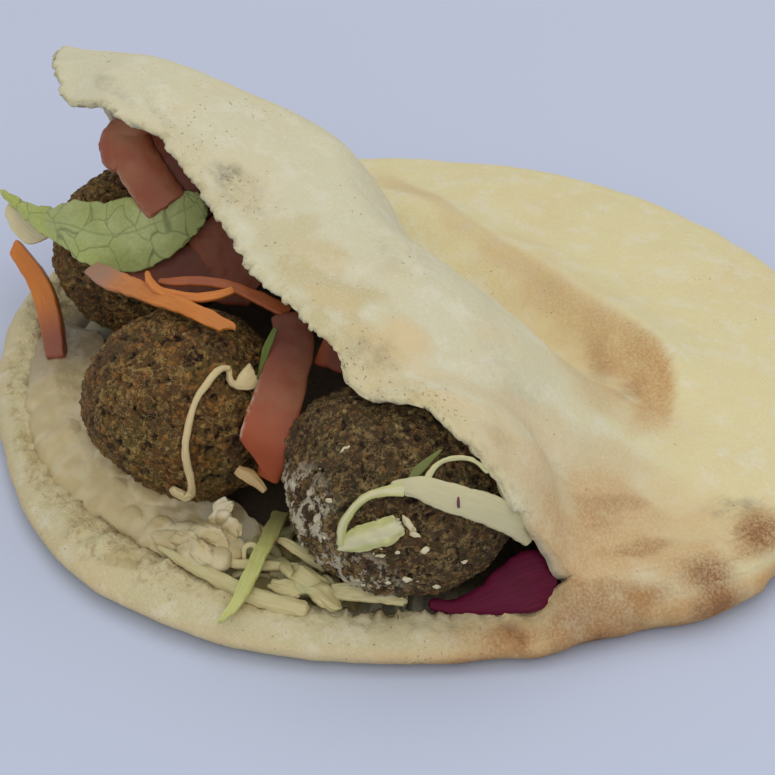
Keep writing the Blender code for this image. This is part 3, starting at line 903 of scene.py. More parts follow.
@dataclass
class Bread:
    """The pocket bread, with its torn lip, blisters and toasted patches."""

    shape: BreadShape = BreadShape()
    finish: BreadFinish = BreadFinish()
    crest: Crest = Crest()
    columns: int = 490
    slit_columns: int = 390
    rows: int = 100
    slit_row: int = 34
    floor_rows: int = 8
    crowding: float = 1.35
    tear: float = 1.5
    lip_round: float = 1.2
    tip_tear: Triple = (221, 11, 0.8)
    corner_tear: Pair = (6, 1.3)
    corner_angle: float = 298.0
    corner_fade: float = 14.0
    swells: Grain = ((0.55, 22, 2), (0.22, 8, 2), (0.12, 3.2, 2))
    lip_rag: Grain = ((0.8, 8, 2), (0.36, 3.6, 3), (0.42, 1.5, 3))
    bead_rag: Grain = ((1.5, 2.2, 3), (0.3, 6, 1))
    bead_jag: Grain = ((1.7, 1.6, 2), (0.9, 4.2, 2))
    torn_crumb: Grain = ((0.9, 3, 3), (0.3, 1, 2))
    inner_crumb: Grain = ((0.22, 3.2, 2), (0.12, 1.1, 1))
    rim_bulges: tuple[Triple, ...] = (
        (353, 9, 1.5), (331.5, 3.5, 0.7), (338.5, 2, -0.45), (346, 2.2, -0.4), (325, 3, -0.3))
    toasts: tuple[Patch, ...] = patches(
        (60, -9, 10, 4.5, 68, 0.35), (66, -14, 12, 6, 65, 0.62), (70, -22, 10, 7, 60, 0.85),
        (76, -27, 9, 5, 65, 0.7), (81, -11, 9, 5, 70, 0.8), (83, 5, 8, 5, 80, 0.8), (78, -3, 9, 7, 60, 0.4),
        (60, -29, 8, 3, 60, 0.35), (52, -21, 9, 4, 60, 0.25), (62, -35, 9, 3, 60, 0.4),
        (46, 2, 8, 6, -50, 0.5), (72, -33, 8, 4, 60, 0.8), (70, -28, 9, 5, 60, 0.4),
        (66, -19, 6, 4, 60, 0.75))
    burns: tuple[Patch, ...] = patches(
        (33, 17.5, 8, 1.8, -48, 0.28), (44, 14.5, 6, 2.4, -60, 0.35), (28, 22, 7, 2, -30, 0.18),
        (84, -9, 5, 3.4, 60, 1.15), (84, 5.5, 5, 3.4, 80, 1.1), (73, -17, 7, 1.4, 70, 0.5),
        (66, -13, 7, 1.2, 75, 0.4), (77, -27, 8, 2.6, 62, 0.6), (76, -34, 6, 2.4, 62, 0.55),
        (66, -19, 4, 2, 60, 0.3))
    soots: tuple[Patch, ...] = patches(
        (-13, -35, 3.6, 2.6, 30, 0.95), (-9, -36, 6, 4, 20, 0.45), (-45, -38, 8, 1.6, -8, 0.5),
        (-32, -37, 7, 1.2, -12, 0.4), (32, -41.5, 4.5, 3, 40, 0.5), (77, 6.3, 4.5, 2.2, 60, 0.9),
        (57, -35, 3, 2, 40, 0.3), (45, -20, 6, 4, 30, 0.22), (20, -22, 8, 5, 30, 0.2))
    warms: tuple[Patch, ...] = patches(
        (54, -25, 12, 6, 60, 0.3), (32, -38, 6, 2.6, 30, 0.4), (-10, -33, 9, 6, 0, 0.2),
        (70, -18, 22, 12, 65, 0.5), (24, 20, 34, 9, -16, 0.45), (46, -31, 9, 2.6, 40, 0.3),
        (55, -38, 8, 3, 40, 0.3), (32.6, -34, 5, 3, 20, 0.7), (12, -33, 7, 4, 10, 0.3),
        (20, -39, 5, 2, 20, 0.4), (50, -36, 8, 2.4, 50, 0.5))
    yellows: tuple[Patch, ...] = patches(
        (6, -36, 9, 5, 0, 0.6), (18, -38, 11, 6, -5, 0.95), (29, -41, 11, 6, -8, 0.95),
        (46, -40, 11, 4.5, 25, 0.7), (-8, -37, 8, 3.5, 0, 0.4), (-20, -38, 6, 2.5, 0, 0.3))
    blisters: tuple[Patch, ...] = patches(
        (68, -14, 7, 4.5, 70, 0.9), (73, -23, 6, 4, 60, 0.8), (79, -10, 6, 4.2, 72, 1.1),
        (83, 5, 6, 4.5, 80, 1), (60, -27, 5, 2.6, 60, 0.6), (42, 14, 8, 5, -50, 0.8))

    def column_angle(self, column: int) -> float:
        """Angle of a column: the slit's columns share its arc, and the others share the closed rim.

        Args:
            column: The column's number.

        Returns:
            The angle in degrees.
        """
        arc = self.shape.slit_end - self.shape.slit_start
        past = column - self.slit_columns
        if past <= 0:
            return self.shape.slit_start + arc * column / self.slit_columns
        return self.shape.slit_end + (360.0 - arc) * past / (self.columns - self.slit_columns)

    def torn_edge(self, angle: float) -> float:
        """Distance of the flap's edge from the middle, with its tears: deepest by the tip and the corner.

        Args:
            angle: The angle in degrees.

        Returns:
            The distance.
        """
        shape = self.shape
        inside = (angle - shape.slit_start) % 360.0 < shape.slit_end - shape.slit_start
        if not inside:
            return shape.rim_radius(angle) - shape.inset(angle)
        reach = curve_at(shape.lip, angle)
        spot = polar(reach, angle, 0.0)
        ragged = grained(spot, self.lip_rag) - 0.35 * abs(rough(spot, 5.1, 2))
        tip, tip_width, tip_more = self.tip_tear
        ragged *= 1.0 + tip_more * exp(-((angle % 360.0 - tip) / tip_width) ** 2)
        share = max(shape.slit_share(angle), 0.75 * ease((shape.slit_end - angle % 360.0) / 1.5))
        corner = exp(-((shape.slit_end - angle % 360.0) / self.corner_tear[0]) ** 2)
        return reach + self.tear * share * (ragged + self.corner_tear[1] * corner * rough(spot, 1.9, 3))

    def bead_spread(self, angle: float) -> float:
        """How far the bead's torn edge wanders: most at the right corner.

        Args:
            angle: The angle in degrees.

        Returns:
            The distance.
        """
        spot = polar(self.shape.rim_radius(angle), angle, 3.0)
        near = 0.35 + 0.65 * ease((angle % 360.0 - 312.0) / 12.0)
        return near * grained(spot, self.bead_rag)

    def bead_crest(self, angle: float) -> float:
        """How far the bead's crest rises and falls: most at the right corner.

        Args:
            angle: The angle in degrees.

        Returns:
            The rise.
        """
        spot = polar(self.shape.rim_radius(angle), angle, 9.0)
        near = 0.3 + 0.7 * ease((angle % 360.0 - 300.0) / 14.0)
        return near * (grained(spot, self.bead_jag) - 0.4)

    def upper_spot(self, row: int, angle: float, skin: Skin) -> Spot:
        """A point of the upper layer.

        Args:
            row: Row number, from the slit's row at the edge to the last at the crown.
            angle: The column's angle.
            skin: Which skin.

        Returns:
            The spot.
        """
        shape = self.shape
        inwards = (row - self.slit_row) / (self.rows - self.slit_row)
        out = 1.0 - inwards ** self.crowding
        edge = polar(self.torn_edge(angle), angle, 0.0)
        x = shape.crown[0] + (edge.x - shape.crown[0]) * out
        y = shape.crown[1] + (edge.y - shape.crown[1]) * out
        from_edge = (1.0 - out) * hypot(edge.x - shape.crown[0], edge.y - shape.crown[1])
        open_share = shape.slit_share(angle)
        thin = 0.52 + 0.22 * rough(edge, 4.0, 2)
        thick = shape.flap_thickness * (1.0 - thin * open_share * (1.0 - ease(from_edge / 6.0)))
        curl = max(1.0 - from_edge / self.lip_round, 0.0) * open_share
        sink = thick * 0.46 * (1.0 - sqrt(max(1.0 - curl * curl, 0.0)))
        point = Vector((x, y, shape.top_height(x, y)))
        point -= shape.top_normal(x, y) * (thick - sink if skin is Skin.INNER else sink)
        band = 2.4 + 2.6 * ease((angle % 360.0 - 290.0) / 12.0)
        torn = 0.6 * open_share * (1.0 - ease((from_edge + 0.8 * rough(edge, 3.0, 2)) / band))
        # painted shade on the underside of the flap, away from its edge
        inside = 0.92 * open_share * ease((from_edge - 0.8) / 5.0) if skin is Skin.INNER else 0.0
        return Spot(point, torn, 0.0, inside)

    def lower_spot(self, row: int, angle: float, skin: Skin) -> Spot:
        """A point of the lower layer, from the middle of the underside up to the slit's lower edge.

        Args:
            row: Row number, from 0 in the middle to the slit's row.
            angle: The column's angle.
            skin: Which skin.

        Returns:
            The spot.
        """
        if row <= self.floor_rows:
            return self.floor_spot(row, angle, skin)
        shape = self.shape
        t = (row - self.floor_rows) / (self.slit_row - self.floor_rows)
        radius, middle, edge_top = shape.rim_radius(angle), shape.rim_height(angle), shape.edge_height(angle)
        turn = radians(-90.0 + 180.0 * t)
        reach = shape.inset(angle) if turn > 0 else radius - shape.floor_radius
        share = shape.slit_share(angle, shape.lower_blend)
        wide = curve_at(shape.bead_width, angle % 360.0)
        wide += self.bead_spread(angle) * (1.0 if skin is Skin.INNER else ease((t - 0.55) / 0.3))
        jagged = self.bead_crest(angle) * ease((t - 0.8) / 0.2)
        if skin is Skin.INNER:
            foot = shape.floor_radius - shape.wall
            low, high = shape.floor_thickness, edge_top - shape.flap_thickness
            closed = polar(radius - shape.wall - (reach - shape.wall) * (1 - cos(turn)), angle,
                           (low + high) / 2 + (high - low) / 2 * sin(turn))
            bead_edge = radius - wide * (1 - cos(radians(shape.bead_turn - 90.0)))
            climb = shape.bead_rise * t ** shape.bead_climb
            bead = polar(foot + (bead_edge - 0.6 - foot) * t, angle, low + climb)
            bead.z += jagged
            # painted shade: the crease share grows towards the bead, and the inside share is strongest at the
            # floor's foot
            return Spot(closed.lerp(bead, share), share * ease((t - 0.3) / 0.4),
                        0.6 * share * ease(t / 0.4), 0.85 * share * (1.0 - ease((t - 0.1) / 0.5)))
        lift = middle if turn < 0 else edge_top - middle
        closed = polar(radius - reach * (1 - cos(turn)), angle, middle + lift * sin(turn))
        bead_turn = radians(-90.0 + shape.bead_turn * t)
        bead = polar(radius - wide * (1 - cos(bead_turn)), angle,
                     shape.bead_height / 2 * (1 + sin(bead_turn)) + jagged)
        uneven = 0.10 * rough(polar(radius, angle, 0.0), 7.0, 3)
        corner = ease((angle % 360.0 - self.corner_angle) / self.corner_fade)
        torn = share * ease((t + uneven - 0.66) / 0.14) * (1.0 - 0.55 * corner)
        return Spot(closed.lerp(bead, share), torn, share * ease((t - 0.93) / 0.07))

    def floor_spot(self, row: int, angle: float, skin: Skin) -> Spot:
        """A point of the flat middle of the lower layer.

        Args:
            row: Row number, from 0 in the middle.
            angle: The column's angle.
            skin: Which skin.

        Returns:
            The spot.
        """
        foot = self.shape.floor_radius - self.shape.wall
        if skin is Skin.OUTER:
            return Spot(polar(self.shape.floor_radius * row / self.floor_rows, angle, 0.0))
        radius = foot * row / self.floor_rows
        point = polar(radius, angle, self.shape.floor_thickness)
        # painted shade on the floor, darker deeper inside the pocket
        return Spot(point, inside=0.95 * ease((foot - radius) / 9.0))

    def skin(self, bm: Mesh, which: Skin, layers: dict) -> list[Vertex]:
        """Shape one skin from a sphere opened along part of one row.

        Args:
            bm: The mesh to add to.
            which: Which skin.
            layers: Vertex layers by name.

        Returns:
            The skin's vertices.
        """
        before = set(bm.verts)
        bmesh.ops.create_uvsphere(bm, u_segments=self.columns, v_segments=self.rows, radius=1.0)
        verts = [v for v in bm.verts if v not in before]

        def row_of(v: Vertex) -> int:
            """Row number of a sphere's vertex."""
            return round((asin(min(max(v.co.z, -1.0), 1.0)) / pi + 0.5) * self.rows)

        def column_of(v: Vertex) -> int:
            """Column number of a sphere's vertex."""
            return round(atan2(v.co.y, v.co.x) / (2 * pi) * self.columns) % self.columns

        on_slit = {v for v in verts if row_of(v) == self.slit_row and column_of(v) <= self.slit_columns}
        slit_edges = {e for v in on_slit for e in v.link_edges if e.other_vert(v) in on_slit}
        bmesh.ops.split_edges(bm, edges=sorted(slit_edges, key=lambda e: e.index))
        verts = [v for v in bm.verts if v not in before]
        faces = list({f for v in verts for f in v.link_faces})
        rows = {v: row_of(v) for v in verts}
        spots = {}
        for v in verts:
            highest = max(rows[w] for f in v.link_faces for w in f.verts)
            upper = rows[v] >= self.slit_row and highest > self.slit_row
            make_spot = self.upper_spot if upper else self.lower_spot
            spots[v] = make_spot(rows[v], self.column_angle(column_of(v)), which)
        for v, spot in spots.items():
            v.co = spot.point
            v[layers["torn"]] = spot.torn
            v[layers["crease"]] = spot.crease
            v[layers["inside"]] = spot.inside
        if which is Skin.INNER:
            bmesh.ops.reverse_faces(bm, faces=faces)
        return verts

    def strongest(self, patches: Sequence[Patch], x: float, y: float, wander: float) -> float:
        """The strongest of some patches at (x, y)."""
        return max(patch.at(x, y, wander) for patch in patches)

    def build(self) -> None:
        """Model the bread, raise its relief and mark its looks."""
        bm = bmesh.new()
        names = ("torn", "crease", "inside", "closed", "edge", "toast", "burn", "soot", "warm")
        layers = {name: bm.verts.layers.float.new(name) for name in names}
        outer = self.skin(bm, Skin.OUTER, layers)
        inner = self.skin(bm, Skin.INNER, layers)
        bmesh.ops.bridge_loops(bm, edges=[e for e in bm.edges if e.is_boundary])
        bm.normal_update()
        moves = {}
        for v in outer:
            self.mark_top(v, layers)
            self.mark_rim(v, layers)
            moves[v] = v.normal * (self.relief(v, v[layers["torn"]]) * ease((v.co.z - 0.2) / 1.5))
        for v in inner:
            torn = v[layers["torn"]] * 0.6 * rough(v.co, 2.2, 3)
            moves[v] = v.normal * (grained(v.co, self.inner_crumb) + torn)
        for v, move in moves.items():
            v.co += move
        place_piece(bm, "pita_bread", self.finish.material(), ["pita"])

    def relief(self, v: Vertex, torn: float) -> float:
        """How far the outer skin rises: its swells, blisters, fold, torn crumb and the bulges of its rim.

        Args:
            v: The vertex.
            torn: How torn it is.

        Returns:
            The rise.
        """
        co, normal = v.co.copy(), v.normal.copy()
        lift = grained(co, self.swells)
        if normal.z > 0.2:
            lift += sum(b.at(co.x, co.y, 0.15 * rough(co, 6.0)) for b in self.blisters)
            lift += self.crest.lift(co.x, co.y)
        lift += torn * (grained(co, self.torn_crumb) - 0.8 * abs(rough(co, 2.2, 2)))
        angle, side_on = angle_of(co.x, co.y), ease((0.85 - normal.z) / 0.6)
        bulges = sum(tall * exp(-((angle - at) / wide) ** 2) for at, wide, tall in self.rim_bulges)
        return lift + side_on * bulges

    def mark_top(self, v: Vertex, layers: dict) -> None:
        """Mark the toasted, burnt, sooty and warmer places of the upper side.

        Args:
            v: The vertex to mark.
            layers: Vertex layers by name.
        """
        if v.normal.z < -0.5:
            return
        x, y = v.co.xy
        wander = 0.42 * rough(v.co, 7.0, 3)
        v[layers["toast"]] = max(self.strongest(self.toasts, x, y, wander), self.crest.toast(x, y, wander))
        v[layers["burn"]] = self.strongest(self.burns, x, y, wander * 1.2)
        v[layers["soot"]] = self.strongest(self.soots, x, y, wander * 0.7)
        v[layers["warm"]] = min(self.strongest(self.warms, x, y, wander), 1.0)
        shoulder = curve_at(self.shape.shoulder, x) + 6.0 * wander
        v[layers["closed"]] = ease((y - shoulder + 8.0) / 40.0)

    def mark_rim(self, v: Vertex, layers: dict) -> None:
        """Warm the sides of the rim, and brown them towards the right of the slit.

        Args:
            v: The vertex to mark.
            layers: Vertex layers by name.
        """
        co, facing_up = v.co, v.normal.z
        angle = angle_of(co.x, co.y)
        side = ease((angle - 306.0) / 20.0) if angle > 180.0 else ease((40.0 - angle) / 25.0)
        low = ease((0.85 - facing_up) / 0.5) * ease((10.0 - co.z) / 4.0)
        uneven = 0.95 + 0.9 * rough(co, 8.0, 3)
        yellow = self.strongest(self.yellows, co.x, co.y, 0.8 * rough(co, 6.0, 3)) if facing_up > 0.0 else 0.0
        v[layers["edge"]] = max(ease((9.5 - co.z) / 4.5), yellow)
        corner = ease((angle - 317.0) / 12.0) * ease((352.0 - angle) / 10.0)
        outer = ease((hypot(co.x, co.y) - 76.0) / 5.0) * ease((11.5 - co.z) / 3.0)
        browned = max(side * low * uneven * 0.95, corner * outer * uneven * 1.2)
        v[layers["toast"]] = max(v[layers["toast"]], browned)
        charred = corner * outer * (0.55 + 0.9 * rough(co, 5.0, 3)) * 0.8
        burnt = max(ease((4.6 - co.z) / 2.6) * 0.7, charred)
        v[layers["burn"]] = max(v[layers["burn"]], side * burnt * uneven)
        v[layers["warm"]] = max(v[layers["warm"]], low * 0.4)


@dataclass
class Falafel:
    """A fried ball with a crumbly crust.

    Each swell is a direction, a height and how wide it spreads, as a share of the ball's size. Each smear of
    sauce is a direction, how near to it the sauce starts, how soft its edge is, and how thick it lies.
    """

    name: str
    ball: Ball
    seed: float
    sauced: bool = False
    swells: Sequence[tuple[Place, float, float]] = ()
    smears: Sequence[tuple[Place, float, float, float]] = (
        ((-0.26, -0.96, -0.02), 0.74, 0.2, 1), ((0.36, -0.88, -0.3), 0.88, 0.1, 0.85))
    detail: int = 7
    sink: float = 0.35

    def build(self, material: Material) -> None:
        """Model the ball's lumps and crumbs.

        Args:
            material: The crust's finish.
        """
        bm = bmesh.new()
        smear = bm.verts.layers.float.new("smear")
        raised = bm.verts.layers.float.new("raised")
        bmesh.ops.create_icosphere(bm, subdivisions=self.detail, radius=1.0)
        middle, wide = Vector(self.ball.middle), self.ball.radius
        shift = Vector((self.seed, -self.seed, self.seed * 0.5))
        for v in bm.verts:
            out = v.co.copy()
            point = Vector((out.x * wide, out.y * wide, out.z * self.ball.half_height))
            spot = point + shift
            small = self.crumbs(spot, shift)
            swell = sum(tall * exp(-((Vector(way).normalized() - out).length / spread) ** 2)
                        for way, tall, spread in self.swells)
            v.co = middle + point + out * (swell - self.sink + 0.55 * rough(spot, 7.0, 2) + small)
            v[raised] = min(max(0.5 + 0.62 * small, 0.0), 1.0)
            if self.sauced:
                v[smear] = self.sauce_at(out)
        place_piece(bm, self.name, material, [self.name.replace("_ball", "")])

    def crumbs(self, spot: Vector, shift: Vector) -> float:
        """Height of the crust's crumbs: ridges, lumps, chunks and pits.

        Args:
            spot: The place in the noise.
            shift: How far this ball's noise is moved from the other balls'.

        Returns:
            The height.
        """
        ridges = 0.5 - abs(rough(spot, 2.1, 3))
        lumps = 0.5 - noise.voronoi((spot + shift) / 1.7)[0][0]
        pits = ease((rough(spot, 3.0, 2) - 0.25) / 0.3)
        chunks = 0.5 - noise.voronoi((spot - shift * 2.0) / 3.2)[0][0]
        return 0.60 * ridges + 0.55 * lumps + 0.45 * chunks + 0.50 * rough(spot, 1.1, 3) - 0.35 * pits

    def sauce_at(self, out: Vector) -> float:
        """How much sauce has rubbed off on the crust, in a direction from the middle."""
        return max(thick * ease((Vector(way).normalized().dot(out) - start) / soft)
                   for way, start, soft, thick in self.smears)


def slab(bm: Mesh, lengthwise: int, crosswise: int) -> tuple[list[Vertex], set[Vertex]]:
    """Add a closed flat slab, a unit square seen from above, whose two faces are moved apart later.

    Args:
        bm: The mesh.
        lengthwise: Cells along x.
        crosswise: Cells along y.

    Returns:
        All its vertices, and the set of those on its upper face.
    """
    before = set(bm.verts)
    bmesh.ops.create_grid(bm, x_segments=lengthwise, y_segments=crosswise, size=0.5)
    region = list({f for v in bm.verts if v not in before for f in v.link_faces})
    lifted = bmesh.ops.extrude_face_region(bm, geom=region)["geom"]
    top = {g for g in lifted if isinstance(g, Vertex)}
    return [v for v in bm.verts if v not in before], top


def facing(direction: Place) -> Direction:
    """The same direction everywhere."""
    return lambda point: Vector(direction).normalized()


def nowhere(u: float, side: float) -> float:
    """A look that shows nowhere on a strip."""
    return 0.0


FRONT = facing((0.62, -0.55, 0.56))
TOP = facing((0.2, -0.3, 0.93))


@dataclass(frozen=True)
class Strip:
    """A strip bent along a path, with its own section, curl, twist and cut ends.

    Widths follow the path; ends is the share of the length over which an end is rounded; section is the
    exponent of its cross-section, from 2 for an oval to 10 for a slab; skew slides its two ends along it, so
    that they are cut at a slant; fray roughens them; fibres raises ridges along it; slip moves its pattern.
    """

    path: Sequence[Place]
    widths: Sequence[float]
    thickness: float
    face: Direction = FRONT
    curl: float = 0.0
    cells: tuple[int, int] = (44, 8)
    section: float = 6.0
    ends: Pair = (0.02, 0.02)
    skew: Pair = (0, 0)
    fray: float = 0.2
    twist: Pair = (0, 0)
    edge: float = 0.12
    lumps: float = 0.08
    grain: float = 2.2
    fibres: float = 0.0
    ruffle: float = 0.0
    slip: float = 0.0

    def shape(self, bm: Mesh, marks: Optional[dict[str, Mark]] = None) -> list[Vertex]:
        """Add the strip to a mesh.

        Args:
            bm: The mesh.
            marks: Functions of the share along and the side, from -1 to 1, by the name of a vertex layer.

        Returns:
            The strip's vertices.
        """
        points = [Vector(p) for p in self.path]
        floats = bm.verts.layers.float
        layers = {name: floats.get(name) or floats.new(name) for name in marks or {}}
        flat = bm.loops.layers.uv.verify()
        length = sum((b - a).length for a, b in zip(points, points[1:]))
        verts, top = slab(bm, *self.cells)
        faces = list({f for v in verts for f in v.link_faces})
        where = {}
        for v in verts:
            t, side = v.co.x + 0.5, sin(pi * min(max(v.co.y, -0.5), 0.5))
            u = min(max(0.7 * t + 0.15 * (1.0 - cos(pi * t)), 0.0), 1.0)
            where[v] = (u, side)
            v.co = self.at(points, u, side, 1.0 if v in top else -1.0)
            for name, layer in layers.items():
                v[layer] = marks[name](u, side)
        wide = max(self.widths)
        for f in faces:
            for loop in f.loops:
                u, side = where[loop.vert]
                loop[flat].uv = (u * length / 10.0 + self.slip, side * wide / 20.0 + self.slip)
        bmesh.ops.recalc_face_normals(bm, faces=faces)
        return verts

    def at(self, points: Sequence[Vector], u: float, side: float, layer: float) -> Vector:
        """A point of the strip's surface.

        Args:
            points: The path.
            u: Share along it.
            side: From -1 to 1 across it.
            layer: 1 on its face, -1 on its back.

        Returns:
            The point.
        """
        centre = along(points, u)
        ahead = (along(points, min(u + 0.02, 1.0)) - along(points, max(u - 0.02, 0.0))).normalized()
        across = self.face(centre).cross(ahead).normalized()
        turn = radians(self.twist[0] * (1.0 - u) + self.twist[1] * u)
        normal = ahead.cross(across).normalized()
        across, normal = across * cos(turn) + normal * sin(turn), normal * cos(turn) - across * sin(turn)
        end = 1.0
        for reach, length in ((u, self.ends[0]), (1.0 - u, self.ends[1])):
            if reach < length:
                end *= sqrt(max(1.0 - (1.0 - reach / length) ** 2, 0.02))
        slide = (self.skew[0] * (1.0 - u) ** 4 + self.skew[1] * u ** 4) * side
        slide += self.fray * rough(centre + Vector((side * 5.0, 3.0, 0.0)), 1.6, 3) * abs(2.0 * u - 1.0) ** 8
        uneven = centre + across * (side * 4.0)
        uneven += Vector((side * 9.0, 0, 0))
        half = along(self.widths, u) / 2.0 * end + self.edge * rough(uneven, 2.6, 3)
        deep = self.thickness / 2.0 * max(1.0 - abs(side) ** self.section, 0.0) ** (1.0 / self.section)
        deep = max(deep * min(end * 1.3, 1.0), 0.08)
        wave = self.ruffle * rough(centre + across * (side * 3.0), 3.6, 2) * (0.4 + 0.6 * abs(side))
        ridges = self.fibres * noise.noise(Vector((u * 6.0, side * 5.0 * max(self.widths) / 3.0, 7.0)))
        point = centre + ahead * slide + across * (half * side) - normal * (self.curl * side * side - wave)
        return point + normal * (layer * deep + ridges + self.lumps * rough(point, self.grain, 2))


def strip_piece(name: str, strips: Iterable[Strip], marks: dict[str, Mark], material: Material,
                nodes: Iterable[str] = ()) -> None:
    """Make one piece from its strips.

    Args:
        name: The piece's name.
        strips: The strips that it is made of.
        marks: Where its finish changes, as Strip.shape takes it.
        material: Its finish.
        nodes: The CAD nodes that it stands for.
    """
    bm = bmesh.new()
    for strip in strips:
        strip.shape(bm, marks)
    place_piece(bm, name, material, nodes)


@dataclass(frozen=True)
class Mound:
    """A low layer on the bread's floor between two angles and two radii, with an uneven top and outline.

    Seen across it, it rises from the outer edge and keeps level inwards by the share named keep. Each bump is
    an angle, a radius, a size and a height.
    """

    angles: Pair
    outer: Knots
    inner: Knots
    height: Knots
    lump: float
    cells: tuple[int, int]
    keep: float
    evenness: float = 0.55
    fine: float = 0.5
    wander: float = 0.8
    bumps: tuple[tuple[float, float, float, float], ...] = ()

    def shape(self, bm: Mesh, bread: BreadShape) -> None:
        """Add the mound to a mesh.

        Args:
            bm: The mesh.
            bread: The bread that it lies on.
        """
        verts, top = slab(bm, *self.cells)
        for v in verts:
            u, side = v.co.x + 0.5, v.co.y + 0.5
            angle = self.angles[0] + (self.angles[1] - self.angles[0]) * u
            near, far = curve_at(self.inner, angle), curve_at(self.outer, angle)
            edge = polar(near, angle, 0.0)
            near += self.wander * rough(edge, 3.5, 2)
            far += self.wander * rough(edge + Vector((31, 7, 0)), 4.0, 3)
            radius = near + (far - near) * side
            place = polar(radius, angle, 0.0)
            across = max(sin(pi * side), self.keep * ease((1.0 - side) / 0.4))
            ends = min(ease(u / 0.06), ease((1.0 - u) / 0.06))
            swell = sqrt(max(ends * across, 0.0))
            bump = 0.5 + 0.5 * rough(place, self.lump, 2)
            rise = curve_at(self.height, angle) * swell * (self.evenness + (1.0 - self.evenness) * bump)
            for at_angle, at_radius, size, tall in self.bumps:
                gap = (place - polar(at_radius, at_angle, 0.0)).length / size
                rise += tall * max(1.0 - gap * gap, 0.0) ** 0.6 * swell
            rise += self.fine * swell * rough(place, 2.0, 3)
            place.z = bread.floor_height(radius) + (max(rise, 0.05) if v in top else -0.25)
            v.co = place
        bmesh.ops.recalc_face_normals(bm, faces=list({f for v in verts for f in v.link_faces}))


# The filling

@dataclass
class TomatoSlices:
    """Tomato wedges and slices in the upper left of the pocket, and the long slice between two falafels."""

    finish: TomatoFinish = TomatoFinish()
    front: Strip = Strip(
        [(9.5, -40, 40.5), (13, -42.5, 37), (16, -47, 33.5), (19, -51.5, 30.8), (21, -55.5, 27),
         (20.6, -57.2, 22.6)],
        [6.8, 7.6, 8.2, 9, 9.6, 9], 3.6, curl=0.3, cells=(120, 30), section=9.0, ends=(0.03, 0.012),
        skew=(0, 3), edge=0.25, lumps=0.16, grain=4.0, fray=0.1)
    lobe: Strip = Strip(
        [(-43.4, -32.6, 58), (-45.8, -35.6, 55.2), (-46.4, -38.2, 52), (-44.2, -39.6, 48)],
        [6.2, 7, 6.2, 3], 2.6, curl=1.4, cells=(70, 26), section=4.0, ends=(0.04, 0.12), edge=0.45,
        lumps=0.25, grain=3.0)
    band: Strip = Strip(
        [(-47.4, -34.8, 56.2), (-42.9, -36.1, 51), (-38.6, -35.7, 46.8), (-34.3, -35.1, 42.8)],
        [8.4, 9.2, 9.4, 9.2], 3.2, curl=1.1, cells=(90, 30), section=5.0, ends=(0.12, 0.02), edge=0.3,
        lumps=0.2, grain=5.0, fray=0.5)
    slice_a: Strip = Strip(
        [(-31.4, -29, 37.7), (-28.1, -27.8, 35.1), (-24.8, -26.7, 32.5), (-21.4, -25.6, 30),
         (-18.9, -24.6, 28)],
        [8.5, 10.5, 11.5, 11, 9.5], 2.2, cells=(90, 26), section=8.0, edge=0.25, lumps=0.15)
    slice_b: Strip = Strip(
        [(-38.9, -45.6, 29.4), (-35.2, -41.1, 29.8), (-31.4, -36.5, 30), (-26.8, -31.6, 29.6),
         (-22.5, -27.6, 28.6), (-19.5, -25.2, 27.6)],
        [4.5, 7.5, 10.5, 11, 10.5, 9], 2.2, cells=(90, 24), section=8.0, edge=0.25, lumps=0.15)
    shade: Strip = Strip(
        [(-44.6, -31, 54), (-40.5, -30.2, 51.4), (-36.5, -29.4, 47.6), (-32.4, -28.6, 43.4),
         (-29.6, -27.8, 40.4)],
        [5.5, 7, 7, 6, 5], 2.5, cells=(70, 16), edge=0.3)
    deep: Strip = Strip([(16.5, -38.5, 36), (21.5, -38.3, 36.6), (26, -37.5, 37.6)], [6.5, 6.5, 5], 2.5,
                        cells=(40, 16), edge=0.3)

    def build(self) -> None:
        """Model the slices and dress them."""
        tomato = self.finish.material()
        strip_piece("tomato_front_slice", [self.front], {
            "bright": lambda u, side: ease((u - 0.5) / 0.4),
            "wet": lambda u, side: ease((-side - 0.84) / 0.12) * ease((u - 0.4) / 0.15) * 0.8,
            # painted shade on the front slice's upper end, under the flap
            "shade": lambda u, side: 0.08 + 0.55 * ease((0.85 - u) / 0.7),
        }, tomato, ["tomato_front"])
        strip_piece("tomato_top_wedge", [self.band, self.lobe], {
            "bright": nowhere,
            "wet": lambda u, side: ease((-side - 0.75) / 0.25) * 0.35,
            # painted shade at the wedge's upper end, by the flap
            "shade": lambda u, side: 0.25 * ease((0.25 - u) / 0.25),
        }, tomato, ["tomato_top"])
        # dark is how much painted shade each slice takes where it lies in the pocket
        for node, strip, dark in (
                ("tomato_slice_a", self.slice_a, 0.30), ("tomato_slice_b", self.slice_b, 0.60),
                ("tomato_shade", self.shade, 0.60), ("tomato_deep", self.deep, 0.66)):
            strip_piece(node + "_look", [strip], {
                "bright": lambda u, side: 0.75,
                "wet": nowhere,
                "shade": lambda u, side, dark=dark: dark * (0.2 + 0.8 * ease(u / 0.4)),
            }, tomato, [node])


